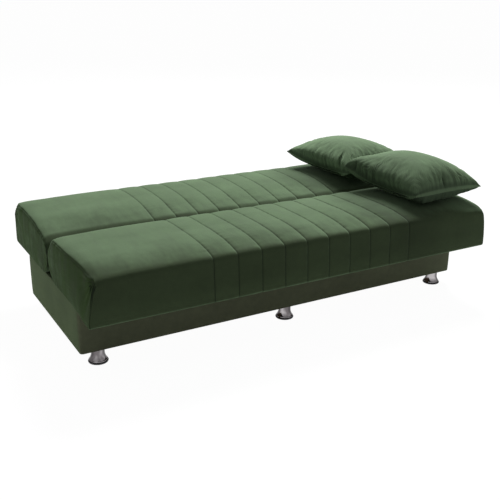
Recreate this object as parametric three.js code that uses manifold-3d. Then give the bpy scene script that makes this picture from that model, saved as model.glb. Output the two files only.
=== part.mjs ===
// A three-seat sofa bed with a bedding box, shown folded flat as a bed.
//
// The seat and the back are two upholstered frames of the same size. Each turns on its own pair of
// hinges, which stand on the box between them: the front of the seat lifts to open the box, and the
// rear of the back lifts to make the backrest. Where they meet, both have a round nose with the hinge
// at its centre, so they turn without pushing each other apart. Two loose pillows lie at one end.
//
// Millimetres. X runs along the bed, Y from the front to the rear and Z up from the floor.
// The origin is on the floor, under the middle of the bed.

import * as THREE from 'three';
import { mergeVertices } from 'three/addons/utils/BufferGeometryUtils.js';
import Module from 'manifold-3d';

const wasm = await Module();
wasm.setup();

// ---- Driving dimensions -----------------------------------------------------------------------

const fitGap = 0.3; // between pieces that touch
const curveSegments = 8;
const roundSegments = 24; // turned pieces
const pinSegments = 20;
const drumSegments = 32;

// Cushions
const bedLength = 1900;
const bedDepth = 1068;
const underCushion = 4.2; // air between the box and the cushions
const edgeHeight = 181; // underside to top edge, at the front and at the rear
const crownRise = 25; // how far the middle stands above that edge
const crownRun = 150; // how far in from the edge it has risen
const crownShare = 0.6; // where along that run the curve would level out, as a share of it
const edgeRadius = 26;
const lowerEdgeRadius = 10;
const coverThickness = 1.8;
const shoulderLength = 64;

// Hinges
const hingeSpacing = 208; // seat hinge to back hinge
const hingeRise = 94; // above the underside of the cushions
const noseGap = 16; // between the two noses
const seatLift = 40; // degrees
const backFold = 75; // degrees
const plateThickness = 4;
const pinRadius = 6;
const pinHeadRadius = 10;
const pinHeadThickness = 3;
const eyeRadius = 22;
const armLength = 230;
const armHeight = 30;
const armDrop = 54; // hinge to the lower edge of the arm
const bracketLength = 300;
const bracketHeight = 56;
const bracketDrop = 104; // hinge to the upper edge of the bracket's strip
const screwHoleRadius = 3;
const screwSpacing = 70;
const armScrews = [0.45, 0.7, 0.93]; // along the arm, as shares of its length
const ratchetTeeth = 7;
const ratchetPitch = 15; // degrees
const ratchetDepth = 4;
const ratchetTipShare = 0.8; // where a tooth's tip stands, as a share of the pitch
const ratchetStart = 135; // degrees from the rear, round the back hinge
const neckOverrun = 8; // arm's neck, past the hinge
const pawlLength = 22;
const pawlTail = 16;
const pawlTipWidth = 4;
const pawlRadius = 8;
const pawlPinRadius = 4;
const pawlPinHeadRadius = 7;
const pawlLobeRadius = 10;
const pawlDirection = 221; // degrees, from the back hinge to the pawl's pin
const pocketMargin = 12; // room in the upholstery around the bracket and the arm

// Frames inside the cushions
const railThickness = 22;
const railHeight = 80;
const wadding = 20; // soft layer over the outer faces of the rails
const deckThickness = 9;
const deckInset = 40; // from the side rails
const innerRailOffset = 39; // hinge to the inner rail
const sideRailOverrun = 10; // how far a side rail runs past the hinge
const hemWidth = 44; // cover turned in under the frame
const dustClothThickness = 1;
const dustClothOverlap = 14;

// Box
const boxEndInset = 10; // from the ends of the cushions
const boxHeight = 194;
const seatOverhang = 197;
const backOverhang = 177;
const boardThickness = 18;
const boxCornerRadius = 12;
const boxHem = 16; // cover turned in over and under the boards
const panelThickness = 9;
const crossBoardHeight = 160;
const hingeBlockLength = 320;

// Legs
const legHeight = 50;
const legNeckRadius = 27;
const legFootRadius = 37.5;
const legNeckHeight = 20;
const legRimHeight = 4;
const legRimLean = 2; // how far the flare leans in where it leaves the rim
const legCurvePoints = 6;
const legInset = 78; // from the end of the box
const legStudInset = 12; // from the inner face of a board
const studRadius = 4;
const studLength = 36;
const glideThickness = 7.4;
const glideRadius = 40;
const legBlockSize = 80;
const legBlockHeight = 40;

// Pillows
const pillowRim = 18;
const pillowPull = 14; // how far its sides pull in between the corners
const pillowLift = 4; // above the crown of the cushion
const pillowFullness = 0.45; // the smaller, the fuller towards the rim
const pillowSegments = 10;
const frontPillow = { width: 408, depth: 470, thickness: 186, fromEnd: 217, y: -237, turn: 3 };
const rearPillow = { width: 404, depth: 465, thickness: 172, fromEnd: 234, y: 252, turn: 5 };

// ---- Finishes -----------------------------------------------------------------------------------

const finish = (color, roughness, metalness = 0) =>
  new THREE.MeshStandardMaterial({ color, roughness, metalness });

const velvet = finish(0x52684c, 0.85);
const boxVelvet = finish(0x3f4a33, 0.88);
const pillowVelvet = finish(0x3c5a40, 0.8);
const softwood = finish(0xc9a878, 0.7);
const plywood = finish(0xb9905f, 0.65);
const foamYellow = finish(0xe6dcae, 0.95);
const dustCloth = finish(0x1c1c1e, 0.95);
const zincSteel = finish(0x9a9c9f, 0.4, 0.9);
const chrome = finish(0xd4d6d8, 0.12, 1);
const blackPlastic = finish(0x141414, 0.5);

// A point at a radius and an angle round the back hinge, in (distance from the bed's middle, height).
function polar(radius, degrees) {
  const angle = THREE.MathUtils.degToRad(degrees);
  const across = hingeOffset + radius * Math.cos(angle);
  return new THREE.Vector2(across, hingeHeight + radius * Math.sin(angle));
}

// ---- Derived places -------------------------------------------------------------------------------

const boxEnd = bedLength / 2 - boxEndInset;
const boxBottom = legHeight + glideThickness + 2 * fitGap;
const boxTop = boxBottom + boxHeight;
const boxFront = -bedDepth / 2 + seatOverhang;
const boxRear = bedDepth / 2 - backOverhang;
const boardBottom = boxBottom + coverThickness + fitGap;
const boardTop = boxTop - coverThickness - fitGap;
const boardFront = boxFront + coverThickness + fitGap;
const boardRear = boxRear - coverThickness - fitGap;
const boardEnd = boxEnd - coverThickness - fitGap;
const boardCornerRadius = boxCornerRadius - coverThickness - fitGap;
const innerFront = boardFront + boardThickness;
const innerRear = boardRear - boardThickness;
const innerEnd = boardEnd - boardThickness;
const panelTop = boardBottom + panelThickness;
const legX = boxEnd - legInset;
const legFrontY = innerFront + legStudInset;
const legRearY = innerRear - legStudInset;

const cushionBottom = boxTop + underCushion;
const cushionEdge = cushionBottom + edgeHeight;
const cushionCrown = cushionEdge + crownRise;
const hingeOffset = hingeSpacing / 2;
const hingeHeight = cushionBottom + hingeRise;
const noseRadius = hingeOffset - noseGap / 2;

const railBottom = cushionBottom + coverThickness + fitGap;
const railTop = railBottom + railHeight;
const deckTop = railTop + fitGap + deckThickness;
const railOuterX = bedLength / 2 - coverThickness - wadding;
const railInnerX = railOuterX - railThickness;
const railFar = bedDepth / 2 - coverThickness - wadding;
const innerRailNear = hingeOffset + innerRailOffset;

const armX = railInnerX - fitGap - plateThickness / 2;
const bracketX = armX - plateThickness - fitGap;
const bracketTop = hingeHeight - bracketDrop;
const pocketInnerX = bracketX - plateThickness / 2 - pocketMargin;
const pinHoleRadius = pinRadius + fitGap;
const pocketTop = hingeHeight + pocketMargin;
const ratchetRadius = eyeRadius + ratchetDepth;
const pawlReach = ratchetRadius + fitGap + pawlLength;
const pawlPin = polar(pawlReach, pawlDirection);
const pocketRadius = pawlReach + pawlTail + pawlTipWidth;

// ---- Geometry helpers -------------------------------------------------------------------------------

// Turns a section drawn in (depth, height) into a bar along X, centred on X = 0.
// A side of +1 puts its depth along +Y, and -1 along -Y.
function barAlongX(shape, length, side) {
  const geometry = new THREE.ExtrudeGeometry(shape, {
    depth: length,
    bevelEnabled: false,
    curveSegments,
  });
  geometry.translate(0, 0, -length / 2);
  const depthAxis = new THREE.Vector3(0, side, 0);
  const heightAxis = new THREE.Vector3(0, 0, 1);
  const lengthAxis = new THREE.Vector3(side, 0, 0);
  return geometry.applyMatrix4(new THREE.Matrix4().makeBasis(depthAxis, heightAxis, lengthAxis));
}

function boxBetween([x0, x1], [y0, y1], [z0, z1]) {
  const geometry = new THREE.BoxGeometry(x1 - x0, y1 - y0, z1 - z0);
  return geometry.translate((x0 + x1) / 2, (y0 + y1) / 2, (z0 + z1) / 2);
}

// An upright box with rounded vertical corners.
function roundedBox([x0, x1], [y0, y1], [z0, z1], radius) {
  const shape = new THREE.Shape();
  shape.absarc(x1 - radius, y1 - radius, radius, 0, Math.PI / 2, false);
  shape.absarc(x0 + radius, y1 - radius, radius, Math.PI / 2, Math.PI, false);
  shape.absarc(x0 + radius, y0 + radius, radius, Math.PI, 1.5 * Math.PI, false);
  shape.absarc(x1 - radius, y0 + radius, radius, 1.5 * Math.PI, 2 * Math.PI, false);
  shape.closePath();
  const geometry = new THREE.ExtrudeGeometry(shape, {
    depth: z1 - z0,
    bevelEnabled: false,
    curveSegments,
  });
  return geometry.translate(0, 0, z0);
}

function solidOf(geometry) {
  const bare = geometry.clone();
  bare.deleteAttribute('normal');
  bare.deleteAttribute('uv');
  const merged = mergeVertices(bare, 1e-4);
  return new wasm.Manifold(
    new wasm.Mesh({
      numProp: 3,
      vertProperties: new Float32Array(merged.attributes.position.array),
      triVerts: new Uint32Array(merged.index.array),
    }),
  );
}

function geometryOf(solid) {
  const mesh = solid.getMesh();
  const geometry = new THREE.BufferGeometry();
  geometry.setAttribute('position', new THREE.BufferAttribute(mesh.vertProperties, 3));
  geometry.setIndex(new THREE.BufferAttribute(mesh.triVerts, 1));
  geometry.computeVertexNormals();
  return geometry;
}

function cut(geometry, ...cutters) {
  const solid = cutters.reduce((rest, cutter) => rest.subtract(solidOf(cutter)), solidOf(geometry));
  return geometryOf(solid);
}

function common(first, second) {
  return geometryOf(solidOf(first).intersect(solidOf(second)));
}

function piece(parent, name, geometry, material, position = [0, 0, 0]) {
  const mesh = new THREE.Mesh(geometry, material);
  mesh.name = name;
  mesh.position.set(...position);
  parent.add(mesh);
  return mesh;
}

function block(parent, name, xRange, yRange, zRange, material) {
  const centre = [xRange, yRange, zRange].map(([low, high]) => (low + high) / 2);
  const size = [xRange, yRange, zRange].map(([low, high]) => high - low);
  return piece(parent, name, new THREE.BoxGeometry(...size), material, centre);
}

function roundHole(y, z, radius) {
  return new THREE.Path().absarc(y, z, radius, 0, 2 * Math.PI, true);
}

const ends = [
  { word: 'left', sign: -1 },
  { word: 'right', sign: 1 },
];
const mirrored = (sign, low, high) => (sign > 0 ? [low, high] : [-high, -low]);
const ordered = (side, near, far) => (side > 0 ? [near, far] : [-far, -near]);

// ---- Box ----------------------------------------------------------------------------------------------

function addBox(parent) {
  const boards = [boardBottom, boardTop];
  const length = [-boardEnd, boardEnd];
  const frame = roundedBox(length, [boardFront, boardRear], boards, boardCornerRadius);
  const front = common(boxBetween(length, [boardFront, innerFront], boards), frame);
  const rear = common(boxBetween(length, [innerRear, boardRear], boards), frame);
  piece(parent, 'base_front_board', front, softwood);
  piece(parent, 'base_rear_board', rear, softwood);
  const between = [innerFront + fitGap, innerRear - fitGap];
  for (const { word, sign } of ends) {
    const boardX = mirrored(sign, innerEnd, boardEnd);
    block(parent, `base_${word}_board`, boardX, between, boards, softwood);
    const blockX = mirrored(sign, bracketX + plateThickness / 2 + fitGap, innerEnd - fitGap);
    const blockY = [-hingeBlockLength / 2, hingeBlockLength / 2];
    const blockZ = [panelTop + fitGap, boardTop];
    block(parent, `hinge_block_${word}`, blockX, blockY, blockZ, softwood);
  }
  piece(parent, 'base_bottom_panel', bottomPanel(between), plywood);
  const crossY = [innerFront + legBlockSize + 2 * fitGap, innerRear - legBlockSize - 2 * fitGap];
  const crossZ = [panelTop + fitGap, panelTop + crossBoardHeight];
  const crossX = [-boardThickness / 2, boardThickness / 2];
  block(parent, 'base_cross_board', crossX, crossY, crossZ, softwood);
  piece(parent, 'base_cover', boxCover(), boxVelvet);
}

function bottomPanel([front, rear]) {
  const end = innerEnd - fitGap;
  const shape = new THREE.Shape();
  shape.moveTo(-end, front).lineTo(end, front).lineTo(end, rear).lineTo(-end, rear).closePath();
  for (const { x, y } of legPlaces()) {
    shape.holes.push(roundHole(x, y, studRadius + fitGap));
  }
  const geometry = new THREE.ExtrudeGeometry(shape, {
    depth: panelThickness,
    bevelEnabled: false,
    curveSegments,
  });
  return geometry.translate(0, 0, boardBottom);
}

// The cloth around the box, turned in over the top edge and under the bottom edge.
function boxCover() {
  const end = boxEnd;
  const outer = roundedBox([-end, end], [boxFront, boxRear], [boxBottom, boxTop], boxCornerRadius);
  const skin = coverThickness;
  const hollow = roundedBox(
    [-end + skin, end - skin],
    [boxFront + skin, boxRear - skin],
    [boxBottom + skin, boxTop - skin],
    boxCornerRadius - skin,
  );
  const mouth = boxBetween(
    [-end + boxHem, end - boxHem],
    [boxFront + boxHem, boxRear - boxHem],
    [boxBottom - skin, boxTop + skin],
  );
  return cut(outer, hollow, mouth);
}

// ---- Legs ---------------------------------------------------------------------------------------------

function legPlaces() {
  const rows = [
    { row: 'front', y: legFrontY },
    { row: 'rear', y: legRearY },
  ];
  const columns = [
    { column: 'left', x: -legX },
    { column: 'middle', x: 0 },
    { column: 'right', x: legX },
  ];
  return rows.flatMap(({ row, y }) => columns.map(({ column, x }) => ({ row, column, x, y })));
}

// A flared foot below a straight neck, with the screw that holds it standing out of its top.
function legGeometry() {
  const profile = new THREE.Path();
  profile.moveTo(0, 0);
  profile.lineTo(legFootRadius, 0);
  profile.lineTo(legFootRadius, legRimHeight);
  const neckStart = legHeight - legNeckHeight;
  profile.bezierCurveTo(
    legFootRadius - legRimLean,
    (legRimHeight + neckStart) / 2,
    legNeckRadius,
    (legRimHeight + neckStart) / 2,
    legNeckRadius,
    neckStart,
  );
  profile.lineTo(legNeckRadius, legHeight);
  profile.lineTo(studRadius, legHeight);
  profile.lineTo(studRadius, legHeight + studLength);
  profile.lineTo(0, legHeight + studLength);
  const lathe = new THREE.LatheGeometry(profile.getPoints(legCurvePoints), roundSegments);
  return lathe.rotateX(Math.PI / 2);
}

function legBlockGeometry(studY) {
  const half = legBlockSize / 2;
  const shape = new THREE.Shape();
  shape.moveTo(-half, -half).lineTo(half, -half).lineTo(half, half).lineTo(-half, half).closePath();
  shape.holes.push(roundHole(0, studY, studRadius + fitGap));
  return new THREE.ExtrudeGeometry(shape, {
    depth: legBlockHeight,
    bevelEnabled: false,
    curveSegments,
  });
}

function addLegs(parent) {
  const glide = new THREE.CylinderGeometry(glideRadius, glideRadius, glideThickness, roundSegments);
  glide.rotateX(Math.PI / 2);
  const leg = legGeometry();
  for (const { row, column, x, y } of legPlaces()) {
    piece(parent, `leg_glide_${row}_${column}`, glide, blackPlastic, [x, y, glideThickness / 2]);
    piece(parent, `leg_${row}_${column}`, leg, chrome, [x, y, glideThickness + fitGap]);
    const side = row === 'front' ? -1 : 1;
    const face = side < 0 ? innerFront + fitGap : innerRear - fitGap;
    const blockY = face - side * (legBlockSize / 2);
    const place = [x, blockY, panelTop + fitGap];
    piece(parent, `leg_block_${row}_${column}`, legBlockGeometry(y - blockY), softwood, place);
  }
}

// ---- Cushions -----------------------------------------------------------------------------------------

// The section of a cushion in (distance from the bed's middle, height), drawn in by an inset.
// The nose is a circle about the hinge, up to the angle that swings past the other nose. Above
// that angle the shoulder stays behind the circle's tangent, so it clears the other nose too.
function cushionSection(swing, inset) {
  const far = bedDepth / 2 - inset;
  const bottom = cushionBottom + inset;
  const edge = cushionEdge - inset;
  const crown = cushionCrown - inset;
  const radius = noseRadius - inset;
  const corner = edgeRadius - inset;
  const lowerCorner = lowerEdgeRadius - inset;
  const angle = THREE.MathUtils.degToRad(swing);
  const noseTop = new THREE.Vector2(
    hingeOffset - radius * Math.cos(angle),
    hingeHeight + radius * Math.sin(angle),
  );
  const tangentRun = ((crown - noseTop.y) / Math.cos(angle)) * Math.sin(angle);
  const shoulder = noseTop.x + tangentRun;
  const bottomAngle = Math.asin((hingeHeight - bottom) / radius);

  const shape = new THREE.Shape();
  shape.moveTo(far, bottom + lowerCorner);
  shape.lineTo(far, edge - corner);
  shape.quadraticCurveTo(far, edge, far - corner, edge + crownRise * (corner / crownRun));
  shape.quadraticCurveTo(far - crownRun * crownShare, crown, far - crownRun, crown);
  shape.lineTo(shoulder + shoulderLength, crown);
  shape.quadraticCurveTo(shoulder, crown, noseTop.x, noseTop.y);
  shape.absarc(hingeOffset, hingeHeight, radius, Math.PI - angle, Math.PI + bottomAngle, false);
  shape.lineTo(far - lowerCorner, bottom);
  shape.quadraticCurveTo(far, bottom, far, bottom + lowerCorner);
  return shape;
}

// Room for the hinge bracket and arm at both ends of a nose: round the hinge, and open downwards.
function hingePockets(side, innerX, outerX, downToX) {
  const depth = outerX - innerX;
  return ends.flatMap(({ sign }) => {
    const drum = new THREE.CylinderGeometry(pocketRadius, pocketRadius, depth, drumSegments);
    drum.rotateZ(Math.PI / 2);
    drum.translate((sign * (innerX + outerX)) / 2, side * hingeOffset, hingeHeight);
    const slotX = mirrored(sign, innerX, downToX);
    const slotY = ordered(side, 0, innerRailNear);
    const slot = boxBetween(slotX, slotY, [cushionBottom - coverThickness, pocketTop]);
    return [drum, slot];
  });
}

function coverGeometry(side, swing) {
  const outer = barAlongX(cushionSection(swing, 0), bedLength, side);
  const innerLength = bedLength - 2 * coverThickness;
  const inner = barAlongX(cushionSection(swing, coverThickness), innerLength, side);
  const mouthEnd = bedLength / 2 - hemWidth;
  const mouth = boxBetween(
    [-mouthEnd, mouthEnd],
    ordered(side, innerRailNear + railThickness / 2, bedDepth / 2 - hemWidth),
    [cushionBottom - coverThickness, cushionBottom + 2 * coverThickness],
  );
  const slots = ends.map(({ sign }) =>
    boxBetween(
      mirrored(sign, pocketInnerX, railInnerX),
      ordered(side, 0, innerRailNear),
      [cushionBottom - coverThickness, pocketTop],
    ),
  );
  return cut(outer, inner, mouth, ...slots);
}

function foamGeometry(side, swing) {
  const skin = coverThickness + fitGap;
  const block = barAlongX(cushionSection(swing, skin), bedLength - 2 * skin, side);
  const frameEnd = railOuterX + fitGap;
  const below = cushionBottom - coverThickness;
  const frameRoom = boxBetween(
    [-frameEnd, frameEnd],
    ordered(side, innerRailNear - fitGap, railFar + fitGap),
    [below, deckTop + fitGap],
  );
  const railRoom = ends.map(({ sign }) =>
    boxBetween(
      mirrored(sign, railInnerX - fitGap, frameEnd),
      ordered(side, hingeOffset - sideRailOverrun - fitGap, innerRailNear),
      [below, railTop + fitGap],
    ),
  );
  const pockets = hingePockets(side, pocketInnerX, frameEnd, railInnerX);
  return cut(block, frameRoom, ...railRoom, ...pockets);
}

// side is -1 for the seat and +1 for the back.
function addCushion(parent, word, side, swing) {
  const rails = [railBottom, railTop];
  const farRail = ordered(side, railFar - railThickness, railFar);
  const nearRail = ordered(side, innerRailNear, innerRailNear + railThickness);
  const sideRun = ordered(side, hingeOffset - sideRailOverrun, railFar);
  const farEnd = railInnerX - fitGap;
  const nearEnd = armX - plateThickness / 2 - fitGap;
  block(parent, `${word}_outer_rail`, [-farEnd, farEnd], farRail, rails, softwood);
  block(parent, `${word}_inner_rail`, [-nearEnd, nearEnd], nearRail, rails, softwood);
  for (const end of ends) {
    const railX = mirrored(end.sign, railInnerX, railOuterX);
    block(parent, `${word}_${end.word}_rail`, railX, sideRun, rails, softwood);
  }
  const deckEnd = railInnerX - deckInset;
  const deckRun = ordered(side, innerRailNear, railFar);
  block(parent, `${word}_deck`, [-deckEnd, deckEnd], deckRun, [railTop + fitGap, deckTop], plywood);
  piece(parent, `${word}_foam`, foamGeometry(side, swing), foamYellow);
  piece(parent, `${word}_cover`, coverGeometry(side, swing), velvet);
  const clothEnd = bedLength / 2 - hemWidth + dustClothOverlap;
  const clothNear = innerRailNear + railThickness / 2 - dustClothOverlap / 2;
  const clothRun = ordered(side, clothNear, bedDepth / 2 - hemWidth + dustClothOverlap);
  const clothTop = cushionBottom - fitGap;
  const clothZ = [clothTop - dustClothThickness, clothTop];
  block(parent, `${word}_dust_cloth`, [-clothEnd, clothEnd], clothRun, clothZ, dustCloth);
}

// ---- Hinges -------------------------------------------------------------------------------------------

function plate(shape, side = 1) {
  return barAlongX(shape, plateThickness, side);
}

// A strip screwed to the box with two ears, which carry the seat hinge and the back hinge.
// The rear ear has a lobe for the pin of the catch.
function bracketGeometry() {
  const half = bracketLength / 2;
  const low = bracketTop - bracketHeight;
  const shape = new THREE.Shape();
  shape.moveTo(-half, low);
  shape.lineTo(half, low);
  shape.lineTo(half, bracketTop);
  shape.lineTo(hingeOffset + eyeRadius, bracketTop);
  shape.lineTo(hingeOffset + eyeRadius, hingeHeight);
  shape.absarc(hingeOffset, hingeHeight, eyeRadius, 0, Math.PI, false);
  shape.lineTo(hingeOffset - eyeRadius, pawlPin.y + pawlLobeRadius);
  shape.lineTo(pawlPin.x, pawlPin.y + pawlLobeRadius);
  shape.absarc(pawlPin.x, pawlPin.y, pawlLobeRadius, Math.PI / 2, 1.5 * Math.PI, false);
  shape.lineTo(hingeOffset - eyeRadius, pawlPin.y - pawlLobeRadius);
  shape.lineTo(hingeOffset - eyeRadius, bracketTop);
  shape.lineTo(-hingeOffset + eyeRadius, bracketTop);
  shape.lineTo(-hingeOffset + eyeRadius, hingeHeight);
  shape.absarc(-hingeOffset, hingeHeight, eyeRadius, 0, Math.PI, false);
  shape.lineTo(-hingeOffset - eyeRadius, bracketTop);
  shape.lineTo(-half, bracketTop);
  shape.closePath();
  shape.holes.push(roundHole(-hingeOffset, hingeHeight, pinHoleRadius));
  shape.holes.push(roundHole(hingeOffset, hingeHeight, pinHoleRadius));
  shape.holes.push(roundHole(pawlPin.x, pawlPin.y, pawlPinRadius + fitGap));
  for (const y of [-screwSpacing, 0, screwSpacing]) {
    shape.holes.push(roundHole(y, low + bracketHeight / 2, screwHoleRadius));
  }
  return plate(shape);
}

// An arm screwed to a side rail, with an eye on the hinge pin. The back's eye has ratchet teeth.
function armGeometry(side, toothed) {
  const end = hingeOffset + armLength;
  const low = hingeHeight - armDrop;
  const neck = hingeOffset - neckOverrun;
  const shape = new THREE.Shape();
  shape.moveTo(neck, low);
  shape.lineTo(end, low);
  shape.lineTo(end, low + armHeight);
  shape.lineTo(hingeOffset + eyeRadius, low + armHeight);
  shape.lineTo(hingeOffset + eyeRadius, hingeHeight);
  const neckAngle = Math.PI + Math.acos(neckOverrun / eyeRadius);
  if (toothed) {
    const teethStart = THREE.MathUtils.degToRad(ratchetStart);
    shape.absarc(hingeOffset, hingeHeight, eyeRadius, 0, teethStart, false);
    for (let tooth = 0; tooth < ratchetTeeth; tooth += 1) {
      const start = ratchetStart + tooth * ratchetPitch;
      const tip = polar(eyeRadius + ratchetDepth, start + ratchetPitch * ratchetTipShare);
      const root = polar(eyeRadius, start + ratchetPitch);
      shape.lineTo(tip.x, tip.y);
      shape.lineTo(root.x, root.y);
    }
  } else {
    shape.absarc(hingeOffset, hingeHeight, eyeRadius, 0, neckAngle, false);
  }
  shape.closePath();
  shape.holes.push(roundHole(hingeOffset, hingeHeight, pinHoleRadius));
  for (const share of armScrews) {
    const y = hingeOffset + armLength * share;
    shape.holes.push(roundHole(y, low + armHeight / 2, screwHoleRadius));
  }
  return plate(shape, side);
}

// A pin along X with its head on the side away from the end of the bed.
function pinGeometry(radius, headRadius, sign) {
  const shank = 2 * plateThickness + 2 * fitGap;
  const profile = [
    new THREE.Vector2(0, 0),
    new THREE.Vector2(headRadius, 0),
    new THREE.Vector2(headRadius, pinHeadThickness),
    new THREE.Vector2(radius, pinHeadThickness),
    new THREE.Vector2(radius, pinHeadThickness + shank),
    new THREE.Vector2(0, pinHeadThickness + shank),
  ];
  return new THREE.LatheGeometry(profile, pinSegments).rotateZ((-sign * Math.PI) / 2);
}

// The catch that rides on the ratchet: a boss on its pin, a finger towards the hinge and a tail.
function pawlGeometry() {
  const spread = Math.asin(pawlTipWidth / pawlRadius);
  const half = pawlTipWidth / 2;
  const shape = new THREE.Shape();
  shape.moveTo(pawlLength, -half);
  shape.lineTo(pawlLength, half);
  shape.absarc(0, 0, pawlRadius, spread, Math.PI - spread, false);
  shape.lineTo(-pawlTail, half);
  shape.lineTo(-pawlTail, -half);
  shape.absarc(0, 0, pawlRadius, Math.PI + spread, 2 * Math.PI - spread, false);
  shape.closePath();
  shape.holes.push(roundHole(0, 0, pawlPinRadius + fitGap));
  return plate(shape).rotateX(THREE.MathUtils.degToRad(pawlDirection - 180));
}

function addHinges(base, seat, back) {
  const headX = bracketX - plateThickness / 2 - fitGap - pinHeadThickness;
  for (const { word, sign } of ends) {
    piece(base, `hinge_bracket_${word}`, bracketGeometry(), zincSteel, [sign * bracketX, 0, 0]);
    const hingePin = pinGeometry(pinRadius, pinHeadRadius, sign);
    const pinX = sign * headX;
    piece(base, `seat_hinge_pin_${word}`, hingePin, zincSteel, [pinX, -hingeOffset, hingeHeight]);
    piece(base, `back_hinge_pin_${word}`, hingePin, zincSteel, [pinX, hingeOffset, hingeHeight]);
    const catchPin = pinGeometry(pawlPinRadius, pawlPinHeadRadius, sign);
    piece(base, `lock_pin_${word}`, catchPin, zincSteel, [pinX, pawlPin.x, pawlPin.y]);
    piece(base, `lock_pawl_${word}`, pawlGeometry(), zincSteel, [sign * armX, pawlPin.x, pawlPin.y]);
    piece(seat, `seat_hinge_arm_${word}`, armGeometry(-1, false), zincSteel, [sign * armX, 0, 0]);
    piece(back, `back_hinge_arm_${word}`, armGeometry(1, true), zincSteel, [sign * armX, 0, 0]);
  }
}

// ---- Pillows ------------------------------------------------------------------------------------------

// A stuffed pillow: full in the middle, thin at the rim, with sides that pull in between its corners.
function pillowGeometry(width, depth, thickness) {
  const geometry = new THREE.BoxGeometry(2, 2, 2, pillowSegments, pillowSegments, 1);
  const points = geometry.attributes.position;
  for (let i = 0; i < points.count; i += 1) {
    const u = points.getX(i);
    const v = points.getY(i);
    const across = (width / 2 - pillowPull * (1 - v * v)) * u;
    const along = (depth / 2 - pillowPull * (1 - u * u)) * v;
    const fullness = ((1 - u * u) * (1 - v * v)) ** pillowFullness;
    const half = (pillowRim + (thickness - pillowRim) * fullness) / 2;
    points.setXYZ(i, across, along, half * points.getZ(i));
  }
  geometry.computeVertexNormals();
  return geometry;
}

function addPillow(parent, name, { width, depth, thickness, fromEnd, y, turn }) {
  const x = bedLength / 2 - fromEnd;
  const height = cushionCrown + pillowLift + thickness / 2;
  const shape = pillowGeometry(width, depth, thickness);
  const pillow = piece(parent, name, shape, pillowVelvet, [x, y, height]);
  pillow.rotation.z = THREE.MathUtils.degToRad(turn);
}

// ---- Assembly -----------------------------------------------------------------------------------------

const base = new THREE.Group();
const seat = new THREE.Group();
const back = new THREE.Group();
const pillows = new THREE.Group();

addBox(base);
addLegs(base);
addCushion(seat, 'seat', -1, seatLift);
addCushion(back, 'back', 1, backFold);
addHinges(base, seat, back);
addPillow(pillows, 'pillow_front', frontPillow);
addPillow(pillows, 'pillow_rear', rearPillow);

const sofaBed = new THREE.Group();
sofaBed.add(base, seat, back, pillows);

export default sofaBed;
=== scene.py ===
import math

import bmesh
import bpy
from bpy.props import FloatProperty, FloatVectorProperty, IntProperty, PointerProperty
from mathutils import Matrix, Vector, noise


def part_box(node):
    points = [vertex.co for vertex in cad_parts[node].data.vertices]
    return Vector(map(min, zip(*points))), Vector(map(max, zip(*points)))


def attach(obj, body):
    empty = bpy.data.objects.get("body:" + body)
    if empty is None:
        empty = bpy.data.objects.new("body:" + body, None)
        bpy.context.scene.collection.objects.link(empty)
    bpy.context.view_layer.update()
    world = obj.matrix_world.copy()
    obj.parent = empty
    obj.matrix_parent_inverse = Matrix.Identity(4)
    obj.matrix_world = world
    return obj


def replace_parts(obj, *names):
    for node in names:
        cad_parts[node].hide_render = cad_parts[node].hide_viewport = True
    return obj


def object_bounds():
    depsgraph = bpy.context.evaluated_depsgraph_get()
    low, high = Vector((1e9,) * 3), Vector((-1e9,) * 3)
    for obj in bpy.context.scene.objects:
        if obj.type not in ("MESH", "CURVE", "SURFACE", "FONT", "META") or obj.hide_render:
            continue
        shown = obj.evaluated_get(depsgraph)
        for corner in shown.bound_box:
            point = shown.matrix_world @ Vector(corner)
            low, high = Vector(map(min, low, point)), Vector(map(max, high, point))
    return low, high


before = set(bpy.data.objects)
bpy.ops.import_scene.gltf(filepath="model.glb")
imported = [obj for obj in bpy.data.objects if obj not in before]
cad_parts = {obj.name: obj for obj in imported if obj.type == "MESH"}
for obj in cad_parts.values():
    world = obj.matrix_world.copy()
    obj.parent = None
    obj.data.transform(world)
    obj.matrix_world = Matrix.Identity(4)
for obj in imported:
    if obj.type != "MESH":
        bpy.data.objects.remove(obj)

bl_info = {
    "name": "Sofa bed",
    "version": (1, 0, 0),
    "blender": (4, 5, 0),
    "location": "3D View > Sidebar > Sofa bed",
    "description": "Upholsters and finishes a folding three-seat sofa bed",
    "category": "Object",
}

CAD_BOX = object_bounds()
WORDS = {"seat": -1, "back": 1}  # each cushion's side of the bed's middle
ENDS = {"left": -1, "right": 1}

# painted shade: the dark that the velvet is painted with in creases, folds, seams and under the pillows
PAINTED_SHADE = (0.010, 0.017, 0.010)  # velvet deep in a crease
STITCH_DARK = (0.008, 0.013, 0.008)
# painted shade for the cushions' end panels: a deeper, richer green
END_SHADE_GREEN = (0.040, 0.080, 0.018)

# ---- Sizes and colours -------------------------------------------------------------------------


def distance(name, description, default):
    return FloatProperty(name=name, description=description, default=default, subtype="DISTANCE", unit="LENGTH")


def heading(name, description, degrees):
    return FloatProperty(name=name, description=description, default=math.radians(degrees), subtype="ANGLE",
                         unit="ROTATION")


def colour_of(name, description, *default):
    return FloatVectorProperty(name=name, description=description, default=default, size=3, subtype="COLOR",
                               min=0, max=1)


class SofaCushionSettings(bpy.types.PropertyGroup):
    """Sizes of the seat and back cushions."""

    channel_count: IntProperty(name="Channel seams", description="Sewn seams across each cushion", default=10,
                               min=2)
    channel_pitch: distance("Channel pitch", "Seam to seam", 0.106)
    channel_start: distance("First seam", "Place of the first seam along the bed", -0.461)
    puff: distance("Puff", "Height of the padding between two seams", 0.0034)
    seam_depth: distance("Seam depth", "Depth of the stitched line itself", 0.0017)
    end_radius: distance("End rounding", "Rounding where the top meets an end panel", 0.011)
    nose_growth: distance("Nose growth", "How far the padding swells past the nose", 0.0035)


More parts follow.
